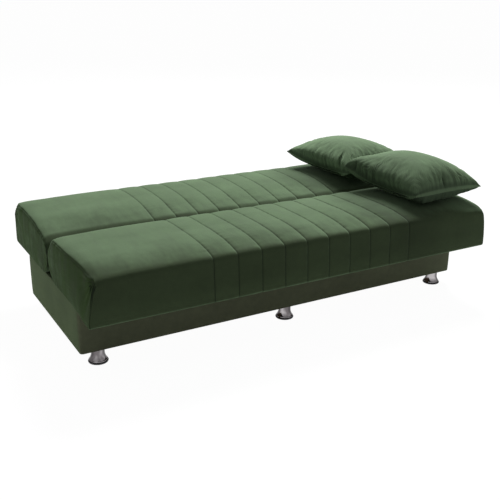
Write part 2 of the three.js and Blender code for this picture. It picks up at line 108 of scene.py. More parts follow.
class SofaPillowSettings(bpy.types.PropertyGroup):
    """Sizes of the loose pillows."""

    pressure: FloatProperty(name="Filling pressure", description="Pressure that the filling puts on the cloth",
                            default=7.0)
    seam_width: distance("Seam width", "Thickness of the sewn rim", 0.005)
    creases: FloatProperty(name="Creases", description="Share of the simulated folds that the pillow keeps",
                           default=0.35, min=0, max=1)


class SofaColourSettings(bpy.types.PropertyGroup):
    """Colours of the cloth and wood."""

    velvet_deep: colour_of("Velvet", "Velvet seen straight on", 0.056, 0.081, 0.040)
    velvet_pale: colour_of("Velvet sheen", "Velvet at a grazing angle", 0.137, 0.205, 0.115)
    box_deep: colour_of("Box velvet", "Velvet of the box, straight on", 0.185, 0.205, 0.128)
    box_pale: colour_of("Box sheen", "Velvet of the box at a grazing angle", 0.140, 0.180, 0.098)
    pillow_deep: colour_of("Pillow velvet", "Velvet of the pillows, straight on", 0.145, 0.217, 0.123)
    pillow_pale: colour_of("Pillow sheen", "Velvet of the pillows at a grazing angle", 0.162, 0.242, 0.139)
    pine: colour_of("Softwood", "Boards and rails", 0.56, 0.39, 0.21)


class SofaStageSettings(bpy.types.PropertyGroup):
    """Camera and light."""

    camera_turn: heading("Camera turn", "Heading to the right of straight ahead", 29.93)
    camera_tilt: heading("Camera tilt", "Tilt below the horizon", 19.68)
    camera_roll: heading("Camera roll", "Roll about the view", 0.52)
    lens: FloatProperty(name="Lens", description="Focal length in millimetres", default=54.87)
    key_power: FloatProperty(name="Key light", description="Power of the overhead light", default=430.0,
                             unit="POWER")


class SofaBedSettings(bpy.types.PropertyGroup):
    """Everything that the operators read."""

    cushions: PointerProperty(type=SofaCushionSettings)
    pillows: PointerProperty(type=SofaPillowSettings)
    colours: PointerProperty(type=SofaColourSettings)
    stage: PointerProperty(type=SofaStageSettings)


# ---- Shared sums -------------------------------------------------------------------------------


def smoothstep(low, high, value):
    share = min(1.0, max(0.0, (value - low) / (high - low)))
    return share * share * (3 - 2 * share)


def mix(first, second, share):
    return first + (second - first) * share


def hill(away, width):
    """1 where away is nothing, fading smoothly to 0 over about two widths."""
    return math.exp(-((away / width) ** 2))


def ripple(point, scale, seed=0.0):
    """Smooth noise from -1 to 1."""
    return noise.noise(Vector((point[0] * scale[0] + seed, point[1] * scale[1] + seed, point[2] * scale[2])))


def inward(place, low, high):
    """How far in from the four upright faces of a box a point lies."""
    return min(place.x - low.x, high.x - place.x, place.y - low.y, high.y - place.y)


def reach_of(node):
    """How near the bed's middle a CAD node starts, and how far out it ends."""
    return sorted(abs(corner.y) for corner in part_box(node))


def hinge_of(word):
    """A cushion's hinge line, as its distance from the bed's middle and its height."""
    low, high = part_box(word + "_hinge_pin_left")
    return Vector((abs(low.y + high.y) / 2, (low.z + high.z) / 2))


# ---- Mesh helpers ------------------------------------------------------------------------------


def edges_along(bm, axis, least):
    """The edges that run further than least along an axis."""
    return [e for e in bm.edges if abs(e.verts[0].co[axis] - e.verts[1].co[axis]) > least]


def grid_block(counts):
    """A unit cube whose sides are cut into an even grid."""
    bm = bmesh.new()
    bmesh.ops.create_cube(bm, size=1.0)
    for axis, count in enumerate(counts):
        if count > 1:
            bmesh.ops.subdivide_edges(bm, edges=edges_along(bm, axis, 1e-6), cuts=count - 1, use_grid_fill=True)
    return bm


def block(bm, first, second):
    """Adds a box between two opposite corners."""
    low, high = (Vector(tuple(map(pick, first, second))) for pick in (min, max))
    placed = Matrix.Translation((low + high) / 2) @ Matrix.Diagonal((*(high - low), 1))
    bmesh.ops.create_cube(bm, size=1.0, matrix=placed)


def lathe(profile, segments, centre=(0, 0, 0)):
    """A turned shape, from (radius, height) points, about the upright line through centre."""
    bm = bmesh.new()
    verts = [bm.verts.new((centre[0] + r, centre[1], centre[2] + z)) for r, z in profile]
    edges = [bm.edges.new(pair) for pair in zip(verts, verts[1:])]
    bmesh.ops.spin(bm, geom=verts + edges, cent=centre, axis=(0, 0, 1), angle=2 * math.pi, steps=segments,
                   use_merge=True)
    bmesh.ops.remove_doubles(bm, verts=bm.verts, dist=1e-6)
    bmesh.ops.recalc_face_normals(bm, faces=bm.faces)
    return bm


def new_object(name, bm):
    """Turns a bmesh into an object of the scene."""
    mesh = bpy.data.meshes.new(name)
    bm.to_mesh(mesh)
    bm.free()
    piece = bpy.data.objects.new(name, mesh)
    bpy.context.scene.collection.objects.link(piece)
    return piece


def add_piece(name, bm, finish, body=None, sharp=None):
    """Turns a bmesh into a finished piece that rides on a CAD body."""
    piece = new_object(name, bm)
    piece.data.shade_smooth()
    if sharp is not None:
        piece.data.set_sharp_from_angle(angle=math.radians(sharp))
    piece.data.materials.append(finish_named(finish))
    if body:
        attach(piece, body)
    return piece


def bake_modifiers(piece):
    """Replaces the piece's mesh with what its modifiers make of it."""
    depsgraph = bpy.context.evaluated_depsgraph_get()
    made = bpy.data.meshes.new_from_object(piece.evaluated_get(depsgraph), depsgraph=depsgraph)
    old = piece.data
    piece.modifiers.clear()
    piece.data = made
    made.name = piece.name
    bpy.data.meshes.remove(old)


def subdivide(piece):
    modifier = piece.modifiers.new("Smooth", "SUBSURF")
    modifier.levels = modifier.render_levels = 1
    bake_modifiers(piece)


def carve(piece, fill):
    """Takes away from the piece the room that fill, a function that draws on a bmesh, makes."""
    bm = bmesh.new()
    fill(bm)
    room = new_object("room", bm)
    modifier = piece.modifiers.new("Room", "BOOLEAN")
    modifier.operation = "DIFFERENCE"
    modifier.solver = "MANIFOLD"
    modifier.object = room
    bake_modifiers(piece)
    mesh = room.data
    bpy.data.objects.remove(room)
    bpy.data.meshes.remove(mesh)


def inflate(piece, pressure, frames=20, cap=0.10):
    """Fills the piece like a sewn case with Cloth, and keeps each point within cap of where it was."""
    before = [v.co.copy() for v in piece.data.vertices]
    cloth = piece.modifiers.new("Cloth", "CLOTH")
    settings = cloth.settings
    settings.quality = 6
    settings.mass = 0.3
    settings.use_pressure = True
    settings.uniform_pressure_force = pressure
    settings.effector_weights.gravity = 0
    settings.shrink_min = -0.02
    settings.bending_stiffness = 0.03
    settings.tension_stiffness = settings.compression_stiffness = 8.0
    settings.air_damping = 2
    cloth.point_cache.frame_start = 1
    cloth.point_cache.frame_end = frames
    scene = bpy.context.scene
    for number in range(1, frames + 1):
        scene.frame_set(number)
    bake_modifiers(piece)
    scene.frame_set(1)
    for vertex, start in zip(piece.data.vertices, before):
        move = vertex.co - start
        if move.length > cap:
            vertex.co = start + move * (cap / move.length)


# ---- Materials ---------------------------------------------------------------------------------


class Nodes:
    """Short ways to add nodes to a tree and join them."""

    def __init__(self, owner, kind):
        owner.use_nodes = True
        self.tree = owner.node_tree
        self.tree.nodes.clear()
        self.output = self.add("ShaderNodeOutput" + kind)

    def add(self, kind, **values):
        node = self.tree.nodes.new(kind)
        for key, value in values.items():
            setattr(node, key, value)
        return node

    def join(self, source, target):
        if isinstance(source, (int, float)):
            target.default_value = source
        elif isinstance(source, (tuple, list)):
            target.default_value = (*source, 1.0) if len(target.default_value) == 4 else source
        else:
            self.tree.links.new(source, target)

    def node(self, kind, sockets, output=0, **values):
        """Adds a node, joins what its named or numbered sockets are given, and returns one output."""
        node = self.add(kind, **values)
        for key, source in sockets.items():
            self.join(source, node.inputs[key])
        return node.outputs[output]

    def math(self, kind, *values):
        return self.node("ShaderNodeMath", dict(enumerate(values)), operation=kind)

    def plus(self, first, second):
        return self.math("ADD", first, second)

    def minus(self, first, second):
        return self.math("SUBTRACT", first, second)

    def times(self, first, second):
        return self.math("MULTIPLY", first, second)

    def size(self, value):
        return self.math("ABSOLUTE", value)

    def seen(self):
        """1 where the eye looks straight at a surface, in a mirror or through glass."""
        path = self.add("ShaderNodeLightPath").outputs
        seen = self.math("MAXIMUM", path["Is Camera Ray"], path["Is Glossy Ray"])
        return self.math("MAXIMUM", seen, path["Is Transmission Ray"])


class Finish(Nodes):
    """A material whose nodes are placed by the object's own coordinates."""

    def __init__(self, name):
        self.material = bpy.data.materials.new(name)
        super().__init__(self.material, "Material")
        self.shader = self.add("ShaderNodeBsdfPrincipled")
        self.join(self.shader.outputs[0], self.output.inputs["Surface"])
        self.places = self.add("ShaderNodeTexCoord").outputs
        self.split = {}

    def axes(self, kind="Object"):
        """The three parts of the place, or of the normal."""
        if kind not in self.split:
            node = self.add("ShaderNodeSeparateXYZ")
            self.join(self.places[kind], node.inputs[0])
            self.split[kind] = tuple(node.outputs)
        return self.split[kind]

    def facing(self):
        """0 where the surface is seen straight on, 1 where it is seen edge on."""
        return self.node("ShaderNodeLayerWeight", {"Blend": 0.5}, "Facing")

    def attribute(self, name):
        return self.node("ShaderNodeAttribute", {}, "Fac", attribute_name=name)

    def mapped(self, scale, location=(0, 0, 0)):
        return self.node("ShaderNodeMapping", {"Vector": self.places["Object"], "Scale": scale,
                                               "Location": location})

    def noise(self, scale, detail=2.0, roughness=0.5, vector=None):
        return self.node("ShaderNodeTexNoise", {"Vector": vector or self.places["Object"], "Scale": scale,
                                                "Detail": detail, "Roughness": roughness}, "Fac")

    def cells(self, scale, randomness=1.0):
        """Distance from the middle of the nearest of many small cells."""
        return self.node("ShaderNodeTexVoronoi", {"Vector": self.places["Object"], "Scale": scale,
                                                  "Randomness": randomness}, "Distance")

    def range(self, *values, kind="LINEAR"):
        """Takes value, low, high, first, last, and turns low..high into first..last."""
        return self.node("ShaderNodeMapRange", dict(enumerate(values)), interpolation_type=kind)

    def smooth(self, *values):
        return self.range(*values, kind="SMOOTHSTEP")

    def blend(self, share, first, second, kind="MIX"):
        return self.node("ShaderNodeMix", {"Factor": share, 6: first, 7: second}, 2, data_type="RGBA",
                         blend_type=kind)

    # paints shade: mixes a colour toward the painted shade of velvet
    def paint_shade(self, share, colour):
        return self.blend(share, colour, PAINTED_SHADE)

    def grey(self, value):
        return self.node("ShaderNodeCombineColor", {0: value, 1: value, 2: value})

    def tint(self, colour, value):
        """Makes the colour value times as light."""
        return self.blend(1.0, colour, self.grey(value), "MULTIPLY")

    def bump(self, height, strength, distance):
        return self.node("ShaderNodeBump", {"Height": height, "Strength": strength, "Distance": distance})

    def finish(self, colour, roughness, normal=None, **fixed):
        """Joins what the shader is given. Each fixed value goes to the socket of that name."""
        self.join(colour, self.shader.inputs["Base Color"])
        self.join(roughness, self.shader.inputs["Roughness"])
        if normal is not None:
            self.join(normal, self.shader.inputs["Normal"])
        for name, value in fixed.items():
            self.shader.inputs[name.replace("_", " ")].default_value = value
        return self.material


def velvet(name, deep, pale, turn, patch, sheen, dress, shift=0.0, lean=None):
    """Short-pile velvet: dark seen straight on and pale at a grazing angle, with patches where the pile lies
    other ways, and nap.

    turn is where it goes from deep to pale, and lean(kit, stroke) adds painted light and shade to that by
    place.
    dress(kit, colour) gives the finished colour with its painted shade and light, and may change kit.height,
    the height of the pile.
    """
    kit = Finish(name)
    patches = kit.noise(4.5, 3.0, 0.55, kit.mapped((0.8, 1.5, 1.5), (shift, 0.0, 0.0)))
    streaks = kit.noise(34, 2.0, 0.5, kit.mapped((1.0, 0.28, 1.0)))
    nap = kit.noise(900, 2.0, 0.6)
    stroke = kit.math("MULTIPLY_ADD", patches, 0.6, kit.times(streaks, 0.4))
    stroke = kit.range(stroke, 0.32, 0.68, -1.0, 1.0)
    paleness = kit.math("MULTIPLY_ADD", stroke, patch * (turn[1] - turn[0]), kit.facing())
    if lean:
        paleness = kit.plus(paleness, lean(kit, stroke))
    colour = kit.blend(kit.smooth(paleness, *turn, 0.0, 1.0), tuple(deep), tuple(pale))
    shade = kit.times(kit.range(nap, 0.25, 0.75, 0.86, 1.12), kit.range(stroke, -1, 1, 1 - patch, 1 + patch))
    kit.height = kit.times(nap, 0.4)
    colour = dress(kit, kit.tint(colour, shade))
    return kit.finish(colour, kit.range(streaks, 0.3, 0.7, 0.86, 0.98), kit.bump(kit.height, 0.3, 0.001),
                      Specular_IOR_Level=0.15, Sheen_Weight=sheen, Sheen_Roughness=0.4,
                      Sheen_Tint=(0.5, 0.8, 0.42, 1))


def end_panels(kit):
    """1 on the upright ends of a piece, 0 elsewhere."""
    return kit.smooth(kit.size(kit.axes("Normal")[0]), 0.66, 0.97, 0.0, 1.0)


def lift(kit, colour, where, bottom, top, gain):
    """Makes velvet paler toward its lower edge, where light comes back from the floor."""
    rise = kit.times(where, kit.smooth(kit.axes()[2], bottom, top, gain, 0.0))
    return kit.tint(colour, kit.plus(rise, 1.0))


def cushion_shading(kit, stroke):
    """By place, how much paler or deeper than elsewhere the cushions' velvet is painted: painted shade and
    light, and a deeper tone on the seat's top.
    """
    x, y, _ = kit.axes()
    # painted shade on the end panels, which the light barely reaches, so they stay deeper in tone
    end_shade = kit.times(end_panels(kit), kit.range(stroke, -1, 1, 0.585, 0.2925))
    # painted shade on the tops toward the pillows' end, and painted light again at the seat's front corner
    # there
    settled = kit.smooth(x, 0.05, 0.62, 0.0, 0.11)
    corner = kit.times(kit.smooth(x, 0.74, 0.90, 0.0, 0.30), kit.smooth(y, -0.44, -0.30, 1.0, 0.0))
    # on top, the seat is a little deeper in tone than the back
    light_and_tone = kit.plus(corner, kit.smooth(y, -0.08, 0.0, -0.040, 0.015))
    on_top = kit.times(light_and_tone, kit.smooth(kit.axes("Normal")[2], 0.2, 0.7, 0.0, 1.0))
    return kit.minus(kit.minus(on_top, end_shade), settled)


def channel_lines(kit, settings):
    """The cushions' seams: the line itself, and the soft dip beside it."""
    pitch = settings.channel_pitch
    first = settings.channel_start - pitch / 2
    along = kit.axes()[0]
    share = kit.math("FRACT", kit.math("DIVIDE", kit.minus(along, first), pitch))
    away = kit.times(kit.size(kit.minus(share, 0.5)), pitch)
    inside = kit.times(kit.math("GREATER_THAN", along, first),
                       kit.math("LESS_THAN", along, first + pitch * settings.channel_count))
    return [kit.times(kit.smooth(away, low, high, 1.0, 0.0), inside)
            for low, high in ((0.0006, 0.0022), (0.001, 0.010))]


def dress_cushion(kit, colour, settings):
    """Lifts the lower edges, paints shade on the end panels, paints the pillows' shadow beside them and draws
    the seams with painted shade.
    """
    x, y, _ = kit.axes()
    end_on, side_on, _ = (kit.size(part) for part in kit.axes("Normal"))
    ends = end_panels(kit)
    colour = lift(kit, colour, kit.minus(1.0, ends), 0.25, 0.34, 0.30)
    # painted shade: the end panels are mixed toward a deeper, richer green, in strokes that run down them
    strokes = kit.noise(15, 3.0, 0.6, kit.mapped((1.0, 1.3, 0.32)))
    colour = kit.blend(kit.times(ends, kit.range(strokes, 0.36, 0.64, 0.15, 0.80)), colour, END_SHADE_GREEN)
    # painted shadow of the pillows: the velvet is darker beside them
    along = kit.times(kit.minus(x, 0.54), 1 / 0.28)
    across = kit.times(kit.minus(kit.size(y), 0.30), 1 / 0.34)
    away = kit.plus(kit.times(along, along), kit.times(across, across))
    colour = kit.tint(colour, kit.smooth(away, 0.0, 1.0, 0.55, 1.0))
    # painted shade in the upright seams between the end panels and the long faces
    colour = kit.paint_shade(kit.smooth(kit.times(end_on, side_on), 0.24, 0.42, 0.0, 0.75), colour)
    line, near = channel_lines(kit, settings)
    # painted shade in the soft dip beside each seam
    colour = kit.paint_shade(kit.times(near, 0.12), colour)
    kit.height = kit.minus(kit.height, kit.times(line, 0.6))
    return kit.blend(kit.times(line, kit.smooth(side_on, 0.5, 0.9, 0.36, 0.75)), colour, STITCH_DARK)


def dress_box(kit, colour):
    """Lifts the lower edge of the ends, and paints shade on the box toward the pillows' end and on the end
    panel there.
    """
    colour = lift(kit, colour, end_panels(kit), 0.06, 0.19, 0.38)
    # painted shade toward the pillows' end
    colour = kit.tint(colour, kit.range(kit.axes()[0], 0.55, 0.92, 1.0, 0.74))
    # painted shade on the end panel at the pillows' end, where the light falls on it
    return kit.tint(colour, kit.smooth(kit.axes("Normal")[0], 0.66, 0.97, 1.0, 0.62))


def dress_pillow(kit, colour, pale):
    """Paints shade and light by the sewn rim, the folds and the creases, which the pillows keep as attributes,
    and across each case.
    """
    x, y, _ = kit.axes()
    inset, fold, crest = map(kit.attribute, ("rim", "fold", "crease"))
    # painted shade on the underside
    colour = kit.paint_shade(kit.smooth(inset, -0.012, 0.0, 0.75, 0.0), colour)
    # painted shade in the folds
    colour = kit.paint_shade(kit.times(fold, 0.7), colour)
    # painted shade between the creases and painted highlight along their crests, partly as pile worn pale there
    colour = kit.tint(colour, kit.range(crest, -0.0022, 0.0022, 0.62, 1.34))
    # painted light: the front case is paler to the right, the rear one to the left
    front, rear = kit.range(x, 0.54, 0.90, 0.82, 1.22), kit.range(x, 0.48, 0.66, 1.16, 1.0)
    light_and_tone = kit.blend(kit.range(y, -0.03, 0.03, 1.0, 0.0), kit.grey(rear), kit.grey(front))
    colour = kit.blend(1.0, colour, light_and_tone, "MULTIPLY")
    # painted highlight along the sewn rim, and painted shade in the dip beside it
    gap = kit.size(inset)
    shown = kit.smooth(kit.axes("Normal")[0], -0.85, -0.45, 0.0, 1.0)
    colour = kit.blend(kit.times(shown, kit.smooth(gap, 0.0008, 0.0026, 0.36, 0.0)), colour, pale)
    dip = kit.times(kit.smooth(gap, 0.0018, 0.0036, 0.0, 0.5), kit.smooth(gap, 0.005, 0.012, 1.0, 0.0))
    return kit.paint_shade(dip, colour)


def wood(name, colour, along="X", plies=False):
    kit = Finish(name)
    stretched = kit.mapped(tuple(1.2 if axis == along else 14 for axis in "XYZ"))
    fibre = kit.noise(40, 3.0, 0.6, stretched)
    band = kit.math("FRACT", kit.times(kit.noise(3.0, 6.0, 0.62, stretched), 7.0))
    band = kit.smooth(band, 0.0, 1.0, 0.0, 1.0)
    dark = tuple(part * 0.62 for part in colour)
    tone = kit.blend(kit.times(band, 0.55), tuple(colour), dark)
    tone = kit.tint(tone, kit.range(fibre, 0.3, 0.7, 0.86, 1.08))
    if plies:
        layer = kit.math("FRACT", kit.times(kit.axes()[2], 420))
        tone = kit.blend(kit.times(kit.math("GREATER_THAN", layer, 0.6), 0.2), tone, dark)
    return kit.finish(tone, kit.range(band, 0, 1, 0.55, 0.72), kit.bump(fibre, 0.25, 0.0006))


def chrome_finish(name):
    """Bright chrome with painted reflections: streaks, and darker toward its edges and on its flare, as it does
    in a dim room.
    """
    kit = Finish(name)
    # painted reflection: streaks of light and dark that run up the leg
    bands = kit.noise(30, 2.0, 0.5, kit.mapped((1.0, 1.0, 0.45)))
    tone = kit.blend(kit.smooth(bands, 0.38, 0.62, 0.0, 1.0), (0.17, 0.155, 0.16), (0.50, 0.475, 0.485))
    # painted reflection: dark toward the edges and on the flare, which faces up
    edge = kit.smooth(kit.facing(), 0.10, 0.5, 0.0, 0.9)
    flare = kit.smooth(kit.axes("Normal")[2], 0.15, 0.5, 0.0, 0.65)
    tone = kit.blend(kit.math("MAXIMUM", edge, flare), tone, (0.055, 0.050, 0.052))
    return kit.finish(tone, kit.range(kit.noise(26, 3.0, 0.6), 0.3, 0.7, 0.07, 0.16), Metallic=1.0)


def zinc_finish(name):
    kit = Finish(name)
    grain = kit.noise(420, 2.0, 0.6, kit.mapped((1, 0.12, 1)))
    tone = kit.blend(kit.cells(160), (0.50, 0.51, 0.52), (0.66, 0.67, 0.68))
    return kit.finish(tone, kit.range(grain, 0.3, 0.7, 0.32, 0.5), kit.bump(grain, 0.15, 0.0003), Metallic=1.0)


def black_plastic(name):
    kit = Finish(name)
    grain, dust = kit.noise(1400, 2.0, 0.6), kit.noise(45, 4.0, 0.6)
    tone = kit.blend(kit.range(dust, 0.45, 0.8, 0, 0.35), (0.012, 0.012, 0.013), (0.05, 0.05, 0.05))
    return kit.finish(tone, kit.range(grain, 0.3, 0.7, 0.4, 0.6), kit.bump(grain, 0.3, 0.0003))


def dust_cloth_finish(name):
    """Black non-woven cloth, pressed in a pattern of small dots."""
    kit = Finish(name)
    fibres = kit.noise(700, 3.0, 0.7)
    press = kit.smooth(kit.cells(330, 0.15), 0.12, 0.3, 1.0, 0.0)
    tone = kit.blend(kit.range(fibres, 0.3, 0.7, 0, 1), (0.014, 0.014, 0.015), (0.036, 0.036, 0.038))
    tone = kit.blend(kit.times(press, 0.6), tone, (0.008, 0.008, 0.009))
    return kit.finish(tone, 0.9, kit.bump(kit.minus(fibres, press), 0.4, 0.0004))


def finish_named(name):
    """The material of that name, made the first time that it is asked for."""
    key = "sofa_" + name
    if key in bpy.data.materials:
        return bpy.data.materials[key]
    settings = bpy.context.scene.sofa_bed
    shades = settings.colours
    makers = {
        "velvet": lambda key: velvet(
            key, shades.velvet_deep, shades.velvet_pale, turn=(0.255, 0.635), patch=0.16, sheen=0.08,
            lean=cushion_shading, dress=lambda kit, colour: dress_cushion(kit, colour, settings.cushions)),
        "box_velvet": lambda key: velvet(
            key, shades.box_deep, shades.box_pale, turn=(0.22, 0.78), patch=0.17, sheen=0.3, shift=0.5,
            dress=dress_box),
        "pillow_velvet": lambda key: velvet(
            key, shades.pillow_deep, shades.pillow_pale, turn=(-0.10, 1.02), patch=0.18, sheen=0.06,
            dress=lambda kit, colour: dress_pillow(kit, colour, tuple(shades.pillow_pale))),
        "pine_x": lambda key: wood(key, shades.pine, "X"),
        "pine_y": lambda key: wood(key, shades.pine, "Y"),
        "plywood": lambda key: wood(key, (0.50, 0.33, 0.17), "X", plies=True),
        "chrome": chrome_finish,
        "zinc": zinc_finish,
        "black_plastic": black_plastic,
        "dust_cloth": dust_cloth_finish,
    }
    return makers[name](key)


def paint_node(node, name):
    """Gives a CAD node a finish through its object's material slots."""
    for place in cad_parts[node].material_slots:
        place.link = "OBJECT"
        place.material = finish_named(name)


# ---- Cushions ----------------------------------------------------------------------------------


SIDE_POINTS = 160  # points on each of the four sides of a cushion's section
CORNERS = {"seat": 0.9, "back": 2.0}  # how much more the outer top corner is rounded than the ends
# Corners of each top in (distance from the bed's middle, height), each with its rounding.
TOPS = {
    "seat": [(0.5225, 0.4275, 0.024), (0.474, 0.4410, 0.5), (0.406, 0.4535, 0.6), (0.300, 0.4595, 0.9),
             (0.170, 0.4590, 0.6), (0.066, 0.4560, 0.045)],
    "back": [(0.5300, 0.4440, 0.030), (0.465, 0.4620, 0.5), (0.400, 0.4665, 0.8), (0.300, 0.4650, 0.9),
             (0.206, 0.4585, 0.6), (0.115, 0.4410, 0.5), (0.052, 0.4270, 0.035)],
}
NOSE_START = math.radians(36)  # where the nose's arc leaves the top
NOSE_STEPS = 24
LOWER_EDGE = 0.010  # rounding of the outer lower edge
CORNER_SPREAD = (26, 13)  # points over which the outer top corner's rounding fades, below it and above it
LEAN = (-0.008, 0.014)  # how far the seat's left end leans in, at the bottom and at the top
BOX_END = (0.888, 0.899)  # where along the bed the noses pass over the ends of the box
END_BULGE = 0.0045  # swell of the end panels
END_DROP, EDGE_DROP = 0.005, 0.011  # how far the top falls toward an end, and over its edge
FRONT_HANG = 0.009  # how far the seat's lower front edge hangs
SEAM_STEPS = (0.0022, 0.0055, 0.011, 0.019, 0.029, 0.041)  # cuts beside each channel seam
PLAIN_STEP = 0.016  # cuts on the plain parts
END_LEANS = (0.2, 0.36, 0.5, 0.62, 0.76, 1.0)  # cuts round the edge of an end panel
FRONT_CREASES = (-0.80, -0.64)  # places along the bed
DRUM_RADIUS = 0.0685  # room round the hinge
HEIGHTS = {  # of what stands on the cover or is pressed into it
    "padding": 0.0016,
    "puckers": 0.0009,
    "front roll": 0.010,
    "corner folds": 0.0022,
    "end seam": 0.0003,
    "fine drape": 0.0008,
    "broad drape": 0.0018,
    "nose gathers": 0.0006,
    "drag lines": 0.0009,
    "front creases": 0.0026,
    "hem": 0.0010,
}


def fillet(before, corner, after, radius, steps=8):
    """Points that round one corner of a line."""
    first, last = before - corner, after - corner
    turn = math.pi - first.angle(last)
    reach = min(radius * math.tan(turn / 2), first.length * 0.49, last.length * 0.49)
    start, end = corner + first.normalized() * reach, corner + last.normalized() * reach
    shares = [step / steps for step in range(steps + 1)]
    return [start.lerp(corner, share).lerp(corner.lerp(end, share), share) for share in shares]


def even_points(line, count):
    """The same line as evenly spaced points, without its last one."""
    lengths = [0.0]
    for first, second in zip(line, line[1:]):
        lengths.append(lengths[-1] + (second - first).length)
    points, at = [], 0
    for number in range(count):
        goal = lengths[-1] * number / count
        while lengths[at + 1] < goal:
            at += 1
        span = max(1e-9, lengths[at + 1] - lengths[at])
        points.append(line[at].lerp(line[at + 1], (goal - lengths[at]) / span))
    return points


class Section:
    """A cushion's closed section in (distance from the bed's middle, height), far side first.

    Its sides are the outer face, the top, the nose and the underside, numbered from 0.
    """

    def __init__(self, word, settings):
        low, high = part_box(word + "_cover")
        self.side = WORDS[word]
        self.corner = CORNERS[word]
        self.radius = settings.end_radius
        self.half = high.x
        self.bottom = low.z
        self.near, self.far = reach_of(word + "_cover")
        self.hinge = hinge_of(word)
        self.points = self.outline(TOPS[word], self.hinge.x - self.near + settings.nose_growth)
        total = len(self.points)
        self.normals = []
        for number in range(total):
            run = self.points[(number + 1) % total] - self.points[number - 1]
            self.normals.append(Vector((run.y, -run.x)).normalized())

    def outline(self, top, nose_radius):
        corners, radii = [Vector(place[:2]) for place in top], [place[2] for place in top]
        foot = Vector((self.far, self.bottom))
        nose_end = -math.asin((self.hinge.y - self.bottom) / nose_radius)
        nose = []
        for step in range(NOSE_STEPS + 1):
            angle = mix(NOSE_START, nose_end, step / NOSE_STEPS)
            nose.append(self.hinge + Vector((-nose_radius * math.cos(angle), nose_radius * math.sin(angle))))
        lower = fillet(nose[-1], foot, corners[0], LOWER_EDGE)
        line = [foot, *corners, nose[0]]
        rounded = [fillet(*line[number:number + 3], radius) for number, radius in enumerate(radii)]
        upper, shoulder = rounded[0], rounded[-1]
        crown = upper[4:] + [point for part in rounded[1:-1] for point in part] + shoulder[:5]
        sides = [lower[4:] + upper[:5], crown, shoulder[4:] + nose, [nose[-1]] + lower[:5]]
        points = [p for side in sides for p in even_points(side, SIDE_POINTS)]
        for _ in range(10):
            points = [(points[i - 1] + p * 2 + points[(i + 1) % len(points)]) / 4 for i, p in enumerate(points)]
        return points

    def end_radius(self, place):
        """Rounding of the end at a place round the section: full on top, tight below."""
        side, share = divmod(place / SIDE_POINTS, 1)
        shares = (mix(0.4, 1.0, smoothstep(0.25, 1, share)), 1.0, mix(1.0, 0.5, smoothstep(0, 0.5, share)),
                  mix(0.5, 0.4, smoothstep(0, 0.3, share)))
        away = place - SIDE_POINTS if place < 2.5 * SIDE_POINTS else SIDE_POINTS * 4
        return self.radius * (shares[int(side) % 4] + self.corner * hill(away, CORNER_SPREAD[away >= 0]))

    def lean_in(self, co):
        """The free end panel of the seat leans in toward the top of its outer corner."""
        if self.side < 0:
            rise = smoothstep(self.bottom, self.bottom + 0.17, co.z)
            outer = smoothstep(self.far - 0.30, self.far - 0.05, co.y * self.side)
            co.x += mix(*LEAN, rise) * outer * smoothstep(self.half - 0.10, self.half - 0.01, -co.x)

    def keep_nose(self, co):
        """Hold the nose to the hinge's own radius where it turns just above the ends of the box."""
        spoke = Vector((co.y * self.side, co.z)) - self.hinge
        excess = spoke.length - (self.hinge.x - self.near)
        if excess > 0 and spoke.x < 0:
            share = smoothstep(*BOX_END, abs(co.x)) * smoothstep(0.05, 0.02, spoke.y)
            spoke *= 1 - share * excess / spoke.length
            co.y = (self.hinge.x + spoke.x) * self.side
            co.z = self.hinge.y + spoke.y

    def at(self, side, share, lean=1):
        """The point at a share along a side, drawn in by the end's rounding, and how far in it is."""
        place = (side + share) * SIDE_POINTS
        total = len(self.points)
        first, part = int(place) % total, place % 1
        second = (first + 1) % total
        inset = self.end_radius(place % total)
        point = self.points[first].lerp(self.points[second], part)
        normal = self.normals[first].lerp(self.normals[second], part)
        return point - normal * inset * (1 - math.cos(lean * math.pi / 2)), inset

    def on_panel(self, across, up):
        """The point of an end panel at these shares, spanned between the panel's four edges."""
        edges = ((0, up), (2, 1 - up), (3, 1 - across), (1, across))
        far, near, low, high = (self.at(*edge)[0] for edge in edges)
        corners = [self.at(side, 0)[0] for side in range(4)]
        point = far * (1 - across) + near * across + low * (1 - up) + high * up
        return point - (corners[0] * (1 - across) * (1 - up) + corners[1] * (1 - across) * up
                        + corners[2] * across * up + corners[3] * across * (1 - up))


def channel_ends(settings):
    """Places of the first and the last channel seam."""
    first = settings.channel_start
    return first, first + settings.channel_pitch * (settings.channel_count - 1)


def cushion_stations(settings, half):
    """Places along the bed where a cushion is cut, with how far each leans round the end."""
    first, last = channel_ends(settings)
    pitch = settings.channel_pitch
    places = []
    for number in range(settings.channel_count):
        seam = first + number * pitch
        places += [seam] + [seam + side * step for step in SEAM_STEPS for side in (-1, 1)]
        if number < settings.channel_count - 1:
            places.append(seam + pitch / 2)
    inner = half - settings.end_radius
    for start, end in ((-inner, first - pitch / 2), (last + pitch / 2, inner)):
        count = max(2, round((end - start) / PLAIN_STEP))
        places += [mix(start, end, number / count) for number in range(count + 1)]
    ends = [(-half, lean) for lean in reversed(END_LEANS)]
    return ends + [(place, 0.0) for place in sorted(places)] + [(half, lean) for lean in END_LEANS]


